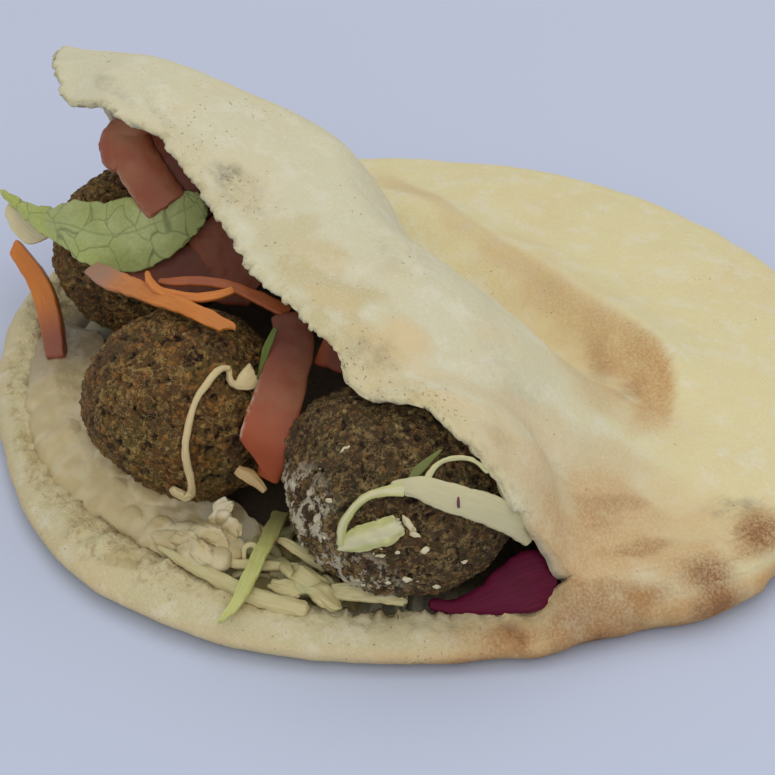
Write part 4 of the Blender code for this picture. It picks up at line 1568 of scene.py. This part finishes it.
@dataclass
class SaladLeaf:
    """A thin soft leaf hanging out of the pocket, ruffled, with a net of raised veins."""

    finish: LeafFinish = LeafFinish()
    face: Triple = (0.55, -0.6, 0.58)
    blade: Strip = Strip(
        [(-82, -44.5, 31), (-74, -44.5, 30.2), (-62.6, -45.8, 32.4), (-51.3, -46.6, 36.1), (-43, -45.6, 37),
         (-38, -41.8, 37.7), (-34.2, -37.3, 39.6), (-30.9, -32.9, 42.4), (-27.8, -31.2, 45)],
        (1.2, 2.6, 6.2, 10.4, 13.4, 14.4, 12.6, 9, 3.6), 0.5, facing(face), curl=0.8, cells=(320, 86),
        section=9.0, ends=(0.03, 0.03), edge=0.45, lumps=0.12, grain=3.0)
    scrap: Strip = Strip(
        [(53.4, -52, 33.6), (53.6, -50.2, 34.8), (53.6, -48, 35.6), (53.3, -44.4, 36.2)],
        [0.5, 1.5, 1.3, 0.4], 0.5, RIGHT.facing(), cells=(50, 10), ends=(0.1, 0.1), edge=0.1)
    length: float = 64.0
    ruffle: float = 1.0
    vein_size: float = 6.5
    vein_width: float = 0.05
    vein_depth: float = 0.20

    def build(self) -> None:
        """Model the leaf and the small scrap of it by the right falafel."""
        material = self.finish.material()
        bm = bmesh.new()
        verts = self.blade.shape(bm, {"vein": self.vein, "shade": self.shade, "bright": self.bright})
        vein = bm.verts.layers.float["vein"]
        out = Vector(self.face).normalized()
        for v in verts:
            spot = v.co.copy()
            wave = self.ruffle * rough(spot, 11.0) + 0.5 * rough(spot, 5.0, 2)
            fold = -1.8 * exp(-((spot.x + 66.0) / 2.0) ** 2) * ease((spot.z - 31.0) / 4.0)
            v.co += out * (wave + fold - self.vein_depth * v[vein])
        place_piece(bm, "salad_leaf", material, ["leaf"])
        # the scrap takes the leaf's painted shade all over
        dark = {"vein": nowhere, "shade": lambda u, side: 1.0, "bright": nowhere}
        strip_piece("leaf_scrap_look", [self.scrap], dark, material, ["leaf_scrap"])

    def vein(self, u: float, side: float) -> float:
        """How near a vein is: a midrib and two nets of cells.

        Args:
            u: Share along the leaf.
            side: From -1 to 1 across it.

        Returns:
            1 on a vein, 0 away from it.
        """
        spot = Vector((u * self.length, side * along(self.blade.widths, u) * 0.5, 3.0)) / self.vein_size
        spot += 0.22 * Vector((noise.noise(spot * 1.7), noise.noise(spot * 1.7 + Vector((5, 5, 5))), 0.0))
        near = noise.voronoi(spot)[0]
        net = 1.0 - ease((near[1] - near[0]) / self.vein_width)
        small = noise.voronoi(spot * 2.3)[0]
        fine = 1.0 - ease((small[1] - small[0]) / 0.06)
        rib = exp(-((side + 0.15 - 0.3 * u) / 0.03) ** 2) * ease((u - 0.1) / 0.2)
        return max(net, rib * 0.7, fine * 0.18)

    def shade(self, u: float, side: float) -> float:
        """Painted shade where the right end curls into the pocket and along the lower edge."""
        return max(0.45 * ease((u - 0.72) / 0.28), 0.6 * ease((abs(side) - 0.955) / 0.045))

    def bright(self, u: float, side: float) -> float:
        """Yellower towards the lower left."""
        return 0.6 * ease((0.40 - u) / 0.3) + 0.4 * ease((-side - 0.2) / 0.6) * (1.0 - u)


class Kind(Enum):
    """What a shred is cut from."""

    CARROT = "carrot"
    CABBAGE = "cabbage"
    ONION = "onion"
    BEET = "beet"


@dataclass
class Shred:
    """One shredded vegetable: the CAD node that it stands for, its strips and its finish."""

    node: str
    kind: Kind
    finish: FibreFinish
    strips: Sequence[Strip]
    tip: Mark = nowhere

    def build(self, materials: dict[str, Material]) -> None:
        """Model the shred, in a finish from the materials already made."""
        material, slot = made_once(self.finish, materials), self.kind.value
        strip_piece(self.node + "_look", self.strips, {"tip": self.tip}, material, [self.node])


def made_once(finish: FibreFinish, materials: dict[str, Material]) -> Material:
    """The finish's material, made when it is first asked for.

    Args:
        finish: The finish.
        materials: Materials already made, by name.

    Returns:
        The material.
    """
    if finish.name not in materials:
        materials[finish.name] = finish.material()
    return materials[finish.name]


def carrot_shreds() -> list[Shred]:
    """The carrot sticks and strings.

    Returns:
        The four carrot shreds.
    """
    return [
        Shred("carrot_left", Kind.CARROT, CARROT, [Strip(
            [(-49, -54.8, 8.6), (-56.8, -50.6, 11.6), (-65.8, -47, 15.8), (-75.4, -46.6, 20.8)],
            [3.8, 4.6, 4.4, 3.2], 3.0, facing((0.5, -0.6, 0.62)), cells=(80, 20), section=8.0,
            skew=(0.4, -0.8))], lambda u, side: ease((0.62 - u) / 0.5)),
        Shred("carrot_mid", Kind.CARROT, CARROT_PALE, [Strip(
            [(-39, -50.5, 33), (-27.5, -54, 37), (-17.5, -55.5, 40.2), (-9.5, -55.5, 41.6), (-1.5, -54, 42),
             (5.5, -51, 40)], [3.4, 4.2, 3.6, 3.2, 3, 2.6], 1.2, facing((0.35, -0.5, 0.8)), cells=(130, 18),
            section=8.0, edge=0.2, skew=(0.8, 0.9), fray=0.3)], lambda u, side: ease((0.34 - u) / 0.2)),
        Shred("carrot_thin", Kind.CARROT, CARROT, [Strip(
            [(-14.7, -54, 44.2), (-12.8, -54.7, 43.2), (-10.4, -54.8, 42.6), (-8, -54, 42.4),
             (-5.1, -52.3, 42.3), (-2.7, -50.1, 42.5), (-1.2, -47.7, 42.8), (-0.4, -45.2, 43.2)],
            [0.6, 1.5, 1.9, 2.1, 2, 1.8, 1.6, 1.2], 0.8, TOP, cells=(120, 12), section=7.0,
            twist=(-30, 20), edge=0.15)]),
        Shred("carrot_arc", Kind.CARROT, CARROT_DARK, [Strip(
            [(-12.4, -53.2, 42.6), (-9.7, -51.4, 43.1), (-7.1, -48.8, 43.4), (-4.2, -46.5, 43.4),
             (-0.8, -44.7, 43.1), (3, -43.1, 42.5), (6.1, -42, 41.9), (9.5, -40.6, 40.8)],
            [1, 1.7, 1.9, 2, 2.1, 2.3, 2.5, 2.6], 0.9, TOP, cells=(120, 12), section=7.0, edge=0.15)]),
    ]


def cabbage_shreds() -> list[Shred]:
    """The single shreds of cabbage and onion, and the slice of beet.

    Returns:
        The shreds, from the left to the right corner of the slit.
    """
    on_right, on_left = RIGHT.facing(), LEFT.facing()
    return [
        Shred("onion_left", Kind.ONION, ONION, [Strip(
            [(-79.6, -44.5, 28.6), (-76.8, -43.5, 26.6), (-73.4, -42.6, 25), (-69.5, -41.8, 23.8)],
            [3, 6.4, 7.8, 3.6], 0.9, cells=(60, 30), ends=(0.12, 0.2), edge=0.4, fibres=0.1, ruffle=0.4)]),
        Shred("cabbage_strand", Kind.CABBAGE, STRAND, [
            Strip([(11.2, -68.7, 15.9), (12, -68, 15.4), (12.9, -67, 15.7), (13.8, -67.2, 18.9),
                   (13.6, -67.7, 22.9), (13.1, -67.4, 26.2), (12.5, -66, 29.6), (11.4, -63.6, 32.9),
                   (10.6, -60.4, 34.9), (9.9, -56.8, 36.1), (10.3, -54.9, 35.7)],
                  [2.2, 1.5, 1.7, 1.35, 1.4, 1.25, 1.3, 1.2, 1.4, 1.2, 0.9], 1.1, on_left, cells=(200, 10),
                  section=2.6, edge=0.15, lumps=0.12, grain=1.8),
            Strip([(10.4, -55, 35.6), (11.5, -55.7, 34.4), (12.3, -55.2, 33.6), (12.9, -53.6, 33.8),
                   (12.9, -51.6, 34)], [0.9, 1.1, 1.6, 3.4, 4.6], 0.8, on_left, cells=(70, 18),
                  ends=(0.05, 0.01), edge=0.15, fray=0.9, curl=0.3, fibres=0.12),
            Strip([(10.4, -69.2, 16.9), (11.6, -68.9, 16.1), (12.8, -67.9, 15.6), (13.6, -67.4, 16.6)],
                  [1, 2.1, 2, 1], 1.1, on_left, cells=(50, 16), ends=(0.1, 0.1), section=3.0, edge=0.35,
                  ruffle=0.4)]),
        Shred("cabbage_rib", Kind.CABBAGE, CABBAGE_PALE, [Strip(
            [(52.8, -54, 32.9), (55.8, -51.5, 33.2), (59.2, -48.2, 31.6), (62.2, -43.6, 29),
             (64.2, -38.4, 24.8), (64.9, -34, 19.5)], [2.2, 4, 4.9, 5.2, 5, 4.2], 1.2, on_right,
            curl=0.35, cells=(140, 24), section=5.0, edge=0.2, fibres=0.05, skew=(-1.2, 0))]),
        Shred("cabbage_curl", Kind.CABBAGE, CABBAGE_GREEN, [
            Strip([(54.2, -53.4, 33.1), (52.2, -55.6, 32.8), (50.4, -57.6, 32), (49.2, -59.8, 30.2),
                   (48.7, -61.2, 28.3), (48.5, -62.4, 25.6), (49, -62.9, 23.4)],
                  [2.4, 1.7, 1.4, 1.3, 1.5, 1.7, 1.6], 0.6, on_right, curl=0.2, cells=(140, 12), edge=0.2,
                  ruffle=0.25, twist=(0, 28)),
            Strip([(48.6, -62.9, 22.8), (50.6, -61.8, 24.6), (52.8, -60.2, 26), (54.8, -58.2, 27.2),
                   (56, -56.2, 28.6)], [2.2, 4, 4.4, 4.6, 3.6], 0.7, on_right, curl=0.5, cells=(100, 26),
                  edge=0.45, ruffle=0.8, fibres=0.1, ends=(0.06, 0.01), fray=0.6)],
            lambda u, side: 0.75 * ease((0.75 - abs(side)) / 0.5)),
        Shred("cabbage_loop", Kind.CABBAGE, CABBAGE_GREEN, [Strip(
            [(55.9, -50.6, 33.6), (55.4, -48.8, 35), (55.4, -46.2, 35.9), (56.4, -43.4, 35.8),
             (57.8, -41.4, 34.9), (60, -40, 33)], [1.5, 1, 0.7, 0.9, 0.7, 1], 0.5, on_right,
            cells=(90, 10), section=3.0, edge=0.2, ruffle=0.3)], lambda u, side: 0.45),
        Shred("cabbage_shred", Kind.CABBAGE, FRESH, [Strip(
            [(21.9, -53.7, 9.6), (24.6, -57.6, 10.4), (27.3, -61.3, 10.8), (30, -65.4, 10.9),
             (32.7, -69.6, 10.6), (35.6, -75, 9.4), (36.3, -79.2, 8)],
            [3, 3.2, 2.8, 2.9, 2.6, 2, 0.8], 0.9, facing((0.3, -0.45, 0.84)), cells=(140, 14), edge=0.25,
            fibres=0.15, ruffle=0.2, ends=(0.02, 0.06))], lambda u, side: 0.85 * ease((0.55 - u) / 0.4)),
        Shred("cabbage_front", Kind.CABBAGE, CABBAGE, [Strip(
            [(12.5, -74.6, 7.6), (19.9, -73.6, 7.9), (27.4, -72.2, 8), (36, -69.9, 8), (43.6, -65.8, 7.6)],
            [1, 2.1, 2.6, 3.2, 2.9], 1.5, facing((0.25, -0.45, 0.86)), cells=(130, 20), ends=(0.06, 0.03),
            section=3.0, fibres=0.12, edge=0.25, curl=0.3)]),
        Shred("cabbage_side", Kind.CABBAGE, CABBAGE, [Strip(
            [(43.6, -60.8, 9), (46.6, -58.8, 9.8), (50.2, -56, 10), (54, -52.6, 9.4)],
            [2.6, 3.2, 3.2, 2.6], 1.3, facing((0.4, -0.5, 0.77)), cells=(90, 20), ends=(0.03, 0.01),
            fibres=0.22, fray=0.7, edge=0.2)]),
        Shred("beet", Kind.BEET, BEET, [Strip(
            [(55.6, -49, 7), (59.2, -46.2, 7.3), (62.2, -42.6, 8.4), (64.6, -38.6, 10),
             (66.4, -34.6, 11.2), (68.2, -31, 11)], [2.2, 2.6, 5, 8.6, 10.5, 7], 2.4,
            facing((0.5, -0.5, 0.7)), curl=0.4, cells=(120, 30), ends=(0.05, 0.05), edge=0.3, lumps=0.12,
            grain=5.0)]),
    ]


@dataclass
class CabbageHeap:
    """A tangle of short cabbage shreds over a smaller core, between the sauce and the right falafel."""

    count: int = 34
    seed: int = 7
    face: Triple = (0.35, -0.45, 0.82)
    outer: Knots = ((288.5, 72), (295, 73.5), (306, 73), (309, 72))
    inner: Knots = ((288.5, 57), (293, 55.5), (299, 57), (309, 62))
    core_height: float = 2.6

    def placed(self) -> list[Strip]:
        """The larger shreds, each at its own place.

        Returns:
            Their strips; slip gives each its own part of the fibre pattern.
        """
        face = facing(self.face)
        return [
            Strip([(26.6, -59, 9.6), (29.8, -59.2, 10.6), (33, -58.8, 10.4), (38.4, -57.4, 8.8)],
                  [0.5, 1.7, 2, 1.6], 0.7, face, cells=(60, 12), edge=0.15, fibres=0.1, curl=0.2, slip=3.0),
            Strip([(21.5, -69.8, 7.4), (25, -68.2, 8), (29.5, -64.8, 8.4), (34.6, -60, 8.6)],
                  [1.2, 1.7, 1.8, 1.3], 0.8, face, cells=(70, 12), edge=0.15, fibres=0.12, curl=0.2,
                  slip=9.0),
            Strip([(34.6, -62.6, 8.6), (37.4, -62.6, 10), (40.6, -62.4, 10.2), (43.2, -61, 9)],
                  [2.4, 4.2, 4.4, 2.6], 0.9, face, cells=(60, 20), edge=0.5, ruffle=0.9, curl=0.6, fray=0.8,
                  slip=15.0),
            Strip([(39.4, -63.6, 9.2), (42.2, -62.8, 9.8), (44.8, -62.6, 9.4), (47, -61.8, 8)],
                  [2, 3.6, 3.4, 2], 0.9, face, cells=(60, 20), edge=0.5, ruffle=0.9, curl=0.5, fray=0.8,
                  twist=(10, -30), slip=21.0),
            Strip([(34.2, -66.2, 8), (37, -65.6, 8.6), (40.4, -64.6, 8.6)], [1.6, 2.8, 1.8], 0.7, face,
                  cells=(40, 14), edge=0.35, ruffle=0.6, fray=0.6, slip=27.0),
            Strip([(26.4, -66, 8.2), (25, -64.6, 9.6), (26, -63.4, 10), (27.2, -63.8, 9.2)],
                  [0.7, 1, 1, 0.8], 0.5, face, cells=(50, 8), section=3.0, slip=33.0),
            Strip([(30.4, -60.4, 7.6), (33.6, -62.6, 9.4), (36.6, -63.6, 10)], [1.4, 2.2, 1.6], 0.7, face,
                  cells=(50, 14), edge=0.25, ruffle=0.3, curl=0.3, slip=39.0),
            Strip([(38, -59.4, 7.8), (40.8, -60.2, 9.2), (43, -59.6, 9)], [1.6, 2.6, 1.8], 0.8, face,
                  cells=(50, 14), edge=0.3, ruffle=0.5, curl=0.3, slip=45.0),
        ]

    def scattered(self, draw: Random, bread: BreadShape) -> Strip:
        """One smaller shred somewhere on the core.

        Args:
            draw: The random draws.
            bread: The bread that it lies on.

        Returns:
            Its strip.
        """
        angle = draw.uniform(290, 307)
        radius = draw.uniform(curve_at(self.inner, angle) + 1.5, curve_at(self.outer, angle) - 0.5)
        middle = polar(radius, angle, bread.floor_height(radius) + draw.uniform(1.6, 3.2))
        turn = radians(draw.uniform(-60, 90))
        half = Vector((cos(turn), sin(turn), draw.uniform(-0.15, 0.15))) * draw.uniform(2.8, 5.6)
        bend = Vector((-sin(turn), cos(turn), 0.0)) * draw.uniform(-1.2, 1.2)
        lift = Vector((0.0, 0.0, draw.uniform(0.2, 0.8)))
        wide = draw.uniform(0.9, 2.2)
        return Strip([middle - half, middle + bend + lift, middle + half], [wide * 0.7, wide, wide * 0.8],
                     draw.uniform(0.5, 0.9), facing((draw.uniform(0, 0.6), draw.uniform(-0.7, -0.2), 0.8)),
                     curl=0.25, cells=(26, 10), edge=0.25, fibres=0.1, slip=draw.uniform(0, 40))

    def build(self, bread: BreadShape, materials: dict[str, Material]) -> None:
        """Model the core and the shreds over it.

        Args:
            bread: The bread that they lie on.
            materials: Materials already made, by name.
        """
        core = bmesh.new()
        core.verts.layers.float.new("tip")
        height = [(angle, self.core_height) for angle in (288, 309)]
        Mound((288.5, 309), self.outer, self.inner, height, 2.5, (90, 60), keep=0.8).shape(core, bread)
        olive = made_once(CABBAGE_OLIVE, materials)
        place_piece(core, "cabbage_heap_core", olive, ["cabbage_heap"])
        draw = Random(self.seed)
        under = [self.scattered(draw, bread) for _ in range(self.count)]
        for name, finish, strips in (("cabbage_heap_under", CABBAGE, under),
                                     ("cabbage_heap_shreds", CABBAGE_HEAP, self.placed())):
            strip_piece(name, strips, {"tip": nowhere}, made_once(finish, materials))


@dataclass(frozen=True)
class Clump:
    """A crumpled wet lump: its middle, its half sizes, its turn in degrees and how deep it is creased."""

    middle: Place
    sizes: Triple
    turn: float
    crease: float = 0.24

    def shape(self, bm: Mesh) -> None:
        """Add the lump to a mesh.

        Args:
            bm: The mesh.
        """
        c, s = cos(radians(self.turn)), sin(radians(self.turn))
        for v in bmesh.ops.create_icosphere(bm, subdivisions=5, radius=1.0)["verts"]:
            out = v.co.normalized()
            x, y, z = (a * b for a, b in zip(out, self.sizes))
            place = Vector(self.middle) + Vector((x * c - y * s, x * s + y * c, z))
            fold = 0.15 - 0.9 * abs(rough(place, 6.5, 2)) + 0.18 * rough(place, 1.6, 2)
            v.co = place + (place - Vector(self.middle)) * (self.crease * fold + 0.18 * rough(place, 5.5, 2))


@dataclass
class Tahini:
    """Sesame sauce run down on to the floor of the pocket, with lumps, and smears on the right falafel.

    Each dab is a place, a size and how many times longer than wide it is.
    """

    finish: SauceFinish = SauceFinish()
    outer: Knots = ((212, 80.5), (222, 80), (240, 79.2), (255, 78.8), (264, 77.6), (275, 76.4), (284, 75.6),
                    (292, 74))
    inner: Knots = ((212, 71), (222, 65), (245, 61), (262, 60), (275, 58), (284, 58), (292, 62))
    height: Knots = ((212, 2.2), (222, 4.8), (235, 7.6), (262, 8.2), (272, 6.6), (282, 4.8), (292, 3.4))
    lumps: tuple[tuple[float, float, float, float], ...] = (
        (262, 65, 7, 1.4), (270, 64.5, 6, 1.6), (281, 70.2, 3.4, 1), (277, 72, 2.8, 0.8),
        (272, 73.6, 2.4, 0.7), (268, 70.5, 3.6, 0.7), (259, 75.5, 2.4, 0.5), (250, 73.5, 3.4, 0.6))
    clumps: tuple[Clump, ...] = (
        Clump((20.4, -70.2, 8), (5.4, 3.4, 1.8), 30), Clump((23.4, -69.2, 8.6), (2.6, 2.8, 1.7), 60),
        Clump((18.4, -66.4, 8.6), (5.4, 3.2, 1.8), 20), Clump((16.8, -62.8, 9.8), (1.8, 1.3, 2.7), 20),
        Clump((13, -70.6, 7.2), (5.4, 3, 1.3), 25), Clump((22.2, -65.6, 8.2), (4.2, 2.8, 1.5), -20))
    folds: tuple[tuple[Place, ...], ...] = (
        ((16.6, -73, 7.8), (19.2, -71.8, 10.2), (22.2, -71.6, 10.4), (25.2, -70.2, 9)),
        ((15, -69.4, 8.6), (17.6, -68.8, 10.8), (20.4, -67.8, 11), (23, -66.8, 9.4)),
        ((12.2, -72.6, 7.2), (14.6, -71.6, 9), (17.6, -70.6, 9.2), (20, -70.2, 8)),
        ((18.6, -65.4, 9), (20.4, -64.2, 11.2), (22.2, -64, 10.2)),
        ((16, -64.4, 8.8), (15.8, -62.8, 11.4), (16.8, -61.2, 13)))
    painted_shade_until: float = 240.0
    painted_light_from: float = 238.0
    specks: int = 20
    low_share: float = 0.45
    dabs: tuple[tuple[float, float, float, float, float], ...] = (
        (56.2, -54.3, 27.4, 0.65, 2.2), (57.6, -54, 26, 0.5, 1.7), (59, -53.4, 23.3, 0.45, 1.5),
        (59.4, -50.7, 14.3, 0.45, 1.5), (57.2, -55.6, 17.3, 0.5, 1.6), (40.4, -54.4, 34.2, 0.45, 1.8),
        (38, -57.7, 31.2, 0.4, 1.5), (43.4, -60.4, 28.3, 0.4, 1.6), (54.6, -55.4, 27.8, 0.5, 1.2))
    seed: int = 11

    def build(self, bread: BreadShape) -> None:
        """Model the pool and the smears.

        Args:
            bread: The bread that the sauce lies on.
        """
        material = self.finish.material()
        bm = bmesh.new()
        soaked, dim, light = (bm.verts.layers.float.new(name) for name in ("soaked", "dim", "light"))
        Mound((212, 292), self.outer, self.inner, self.height, 7.0, (360, 90), keep=1.0, evenness=0.86,
              fine=0.12, wander=0.9, bumps=self.lumps).shape(bm, bread)
        pool = set(bm.verts)
        for clump in self.clumps:
            clump.shape(bm)
        for n, path in enumerate(self.folds):
            Strip(path, [1.8, 3.2, 3.4, 1.9], 0.4, facing((0.35, -0.45, 0.8)), curl=0.35, cells=(66, 26),
                  section=9.0, ends=(0.05, 0.05), edge=0.6, ruffle=0.7, fray=0.9, slip=5.0 * n).shape(bm)
        for v in bm.verts:
            if v not in pool:
                v[soaked] = 0.5 + 0.5 * ease(0.5 + 1.5 * rough(v.co, 4.0, 2))
            angle, reach = angle_of(v.co.x, v.co.y), hypot(v.co.x, v.co.y)
            # painted shade towards the left end of the pool
            v[dim] = 0.95 * ease((self.painted_shade_until - angle) / 14.0)
            # painted light inwards on the right, on the pool where it is not soaked
            inwards = ease((73.0 - reach) / 8.0)
            v[light] = ease((angle - self.painted_light_from) / 14.0) * inwards * (1.0 - v[soaked])
        place_piece(bm, "tahini_pool", material, ["tahini"])
        self.smears(material)

    def smears(self, material: Material) -> None:
        """Small uneven dabs on the right falafel.

        Args:
            material: The sauce's finish.
        """
        draw = Random(self.seed)
        bm = bmesh.new()
        spots = [(Vector(dab[:3]), dab[3], dab[4]) for dab in self.dabs]
        for n in range(self.specks):
            low = n < self.specks * self.low_share
            azimuth, elevation = draw.gauss(-108 if low else -66, 16), draw.gauss(-14 if low else -4, 20)
            size = draw.uniform(0.15, 0.34)
            spots.append((RIGHT.on_surface(azimuth, elevation, 0.1), size, draw.uniform(1, 2.4)))
        for spot, size, stretch in spots:
            out = RIGHT.facing()(spot)
            side = out.cross(Vector((draw.uniform(-1, 1), draw.uniform(-1, 1), 1.0))).normalized()
            other = out.cross(side)
            for v in bmesh.ops.create_icosphere(bm, subdivisions=3, radius=1.0)["verts"]:
                local = v.co * (1.0 + 0.8 * rough(v.co * 0.8 + spot, 0.9, 2))
                v.co = spot + side * (local.x * size * stretch) + other * (local.y * size)
                v.co += out * (local.z * size * 0.5)
        place_piece(bm, "tahini_specks", material)


@dataclass
class Crumbs:
    """Loose crumbs of falafel, and small scraps of salad: their name, finish, slot and strip."""

    seed: int = 23
    count: int = 30
    scraps: tuple[tuple[str, FibreFinish, str, Strip], ...] = (
        ("peel_scrap", PEEL, "cabbage", Strip(
            [(18, -60.4, 20.6), (20.2, -59, 19.4), (22.9, -57.9, 17.4)], [1.8, 2.4, 1.4], 0.8,
            cells=(50, 16), edge=0.3, ruffle=0.4, curl=0.3)),
        ("purple_vein", PURPLE, "cabbage", Strip(
            [(60.2, -47.2, 31.8), (60.6, -47.5, 31.1), (61.1, -47.8, 30.4)], [0.3, 0.5, 0.35], 0.4,
            RIGHT.facing(), cells=(24, 6), edge=0.05)),
        ("green_sliver", HERB, "leaf", Strip(
            [(11.4, -45.2, 40.6), (12.2, -48.2, 37.4), (13.6, -51.4, 33)], [0.8, 1.4, 0.7], 0.5,
            cells=(50, 10), edge=0.2)))

    def build(self, bread: BreadShape, falafel: Material) -> None:
        """Scatter the crumbs and lay the scraps.

        Args:
            bread: The bread that they lie on.
            falafel: Finish of the falafel crumbs.
        """
        draw = Random(self.seed)
        bm = bmesh.new()
        for _ in range(self.count):
            angle, radius = draw.gauss(307, 3), draw.uniform(66, 72)
            spot = polar(radius, angle, bread.floor_height(radius) + draw.uniform(1.6, 3.6))
            size = draw.uniform(0.2, 0.55)
            shift = Vector((draw.uniform(0, 50), draw.uniform(0, 50), 0.0))
            for v in bmesh.ops.create_icosphere(bm, subdivisions=2, radius=1.0)["verts"]:
                v.co = spot + v.co * (size * (1.0 + 0.5 * rough(v.co + shift, 0.9)))
        place_piece(bm, "falafel_crumbs", falafel)
        for name, finish, slot, strip in self.scraps:
            strip_piece(name, [strip], {"tip": nowhere}, finish.material())


# Studio

@dataclass(frozen=True)
class Lamp:
    """A square soft light: its direction in degrees, its distance and side in millimetres, and its power."""

    name: str
    azimuth: float
    elevation: float
    distance: float
    size: float
    watts: float
    color: Color


@dataclass(frozen=True)
class Studio:
    """Plain pale floor, soft light and the camera."""

    target: Triple = (-6.1, -2.9, 0)
    azimuth: float = 48.0
    elevation: float = 34.0
    distance: float = 380.0
    span: float = 161.0
    sensor: float = 36.0
    floor_size: float = 6000.0
    # painted shade: the floor is darker near the camera than far from it
    floor_far: Color = (0.56, 0.6, 0.755)
    floor_near: Color = (0.52, 0.575, 0.715)
    floor_turn: float = 250.0
    world_color: Color = (0.97, 0.98, 1)
    world_strength: float = 0.60
    lamps: tuple[Lamp, ...] = (Lamp("key", 190.0, 72.0, 1000.0, 1100.0, 2.9, (1, 0.985, 0.94)),
                               Lamp("fill", 50.0, 36.0, 900.0, 800.0, 2.4, (1, 0.98, 0.95)))

    def back(self, azimuth: float, elevation: float) -> Vector:
        """Direction from the target to a point seen at two angles in degrees."""
        a, e = radians(azimuth), radians(elevation)
        return Vector((sin(a) * cos(e), -cos(a) * cos(e), sin(e)))

    def build(self) -> None:
        """Make the floor, the lights and the camera."""
        scene = bpy.context.scene
        scene.view_settings.view_transform = "Standard"
        self.floor()
        world = bpy.data.worlds.new("studio")
        scene.world = world
        world.use_nodes = True
        sky = world.node_tree.nodes["Background"]
        sky.inputs["Color"].default_value = (*self.world_color, 1.0)
        sky.inputs["Strength"].default_value = self.world_strength
        for lamp in self.lamps:
            light = bpy.data.lights.new(lamp.name, "AREA")
            light.size = lamp.size * MM
            light.energy = lamp.watts
            light.color = lamp.color
            self.aim(lamp.name, light, lamp.azimuth, lamp.elevation, lamp.distance)
        camera = bpy.data.cameras.new("camera")
        camera.sensor_width = self.sensor
        camera.lens = self.sensor * self.distance / self.span
        camera.clip_start = 0.01
        scene.camera = self.aim("camera", camera, self.azimuth, self.elevation, self.distance)

    def aim(self, name: str, data: bpy.types.ID, azimuth: float, elevation: float,
            distance: float) -> bpy.types.Object:
        """Place a light or the camera, looking at the target.

        Args:
            name: Its name.
            data: The light or the camera.
            azimuth: Direction it stands in, in degrees.
            elevation: How high it stands, in degrees.
            distance: How far away, in millimetres.

        Returns:
            The new object.
        """
        made = bpy.data.objects.new(name, data)
        bpy.context.scene.collection.objects.link(made)
        back = self.back(azimuth, elevation)
        made.location = (Vector(self.target) + back * distance) * MM
        made.rotation_euler = back.to_track_quat("Z", "Y").to_euler()
        return made

    def floor(self) -> None:
        """A wide pale sheet, under the bread, darker towards the camera as painted shade."""
        bm = bmesh.new()
        bmesh.ops.create_grid(bm, x_segments=2, y_segments=2, size=self.floor_size / 2 * MM)
        mesh = bpy.data.meshes.new("floor")
        bm.to_mesh(mesh)
        bm.free()
        g = Graph("pale floor")
        away = -self.back(self.azimuth, 0.0)
        reach = g.node("ShaderNodeVectorMath", {0: g.place(), 1: tuple(away)}, operation="DOT_PRODUCT")
        turn = self.floor_turn * MM
        color = g.layer(self.floor_near, self.floor_far, g.between(reach.outputs[1], -turn, turn))
        g.set(Base_Color=color, Roughness=0.9, Specular_IOR_Level=0.1)
        mesh.materials.append(g.material)
        floor = bpy.data.objects.new("floor", mesh)
        bpy.context.scene.collection.objects.link(floor)


def main() -> None:
    """Load the part and build every piece over it."""
    logging.basicConfig(level=logging.INFO, format="%(message)s")
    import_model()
    Studio().build()
    bread = Bread()
    bread.build()
    crust = FalafelFinish().material()
    shaded_crust = SHADED_CRUST.material()
    right_swells = [((-0.767, -0.261, 0.586), 3.0, 0.6), ((0.25, -0.75, -0.6), 0.3, 0.5)]
    Falafel("falafel_right_ball", RIGHT, 3.0, True, right_swells).build(shaded_crust)
    Falafel("falafel_left_ball", LEFT, 17.0, False, [((0, -0.85, -0.53), -2.4, 0.6)]).build(crust)
    Falafel("falafel_back_ball", BACK, 41.0).build(crust)
    TomatoSlices().build()
    SaladLeaf().build()
    materials: dict[str, Material] = {}
    for shred in carrot_shreds() + cabbage_shreds():
        shred.build(materials)
    CabbageHeap().build(bread.shape, materials)
    Tahini().build(bread.shape)
    Crumbs().build(bread.shape, shaded_crust)
    LOG.info("boxes written")


if __name__ == "__main__":
    main()
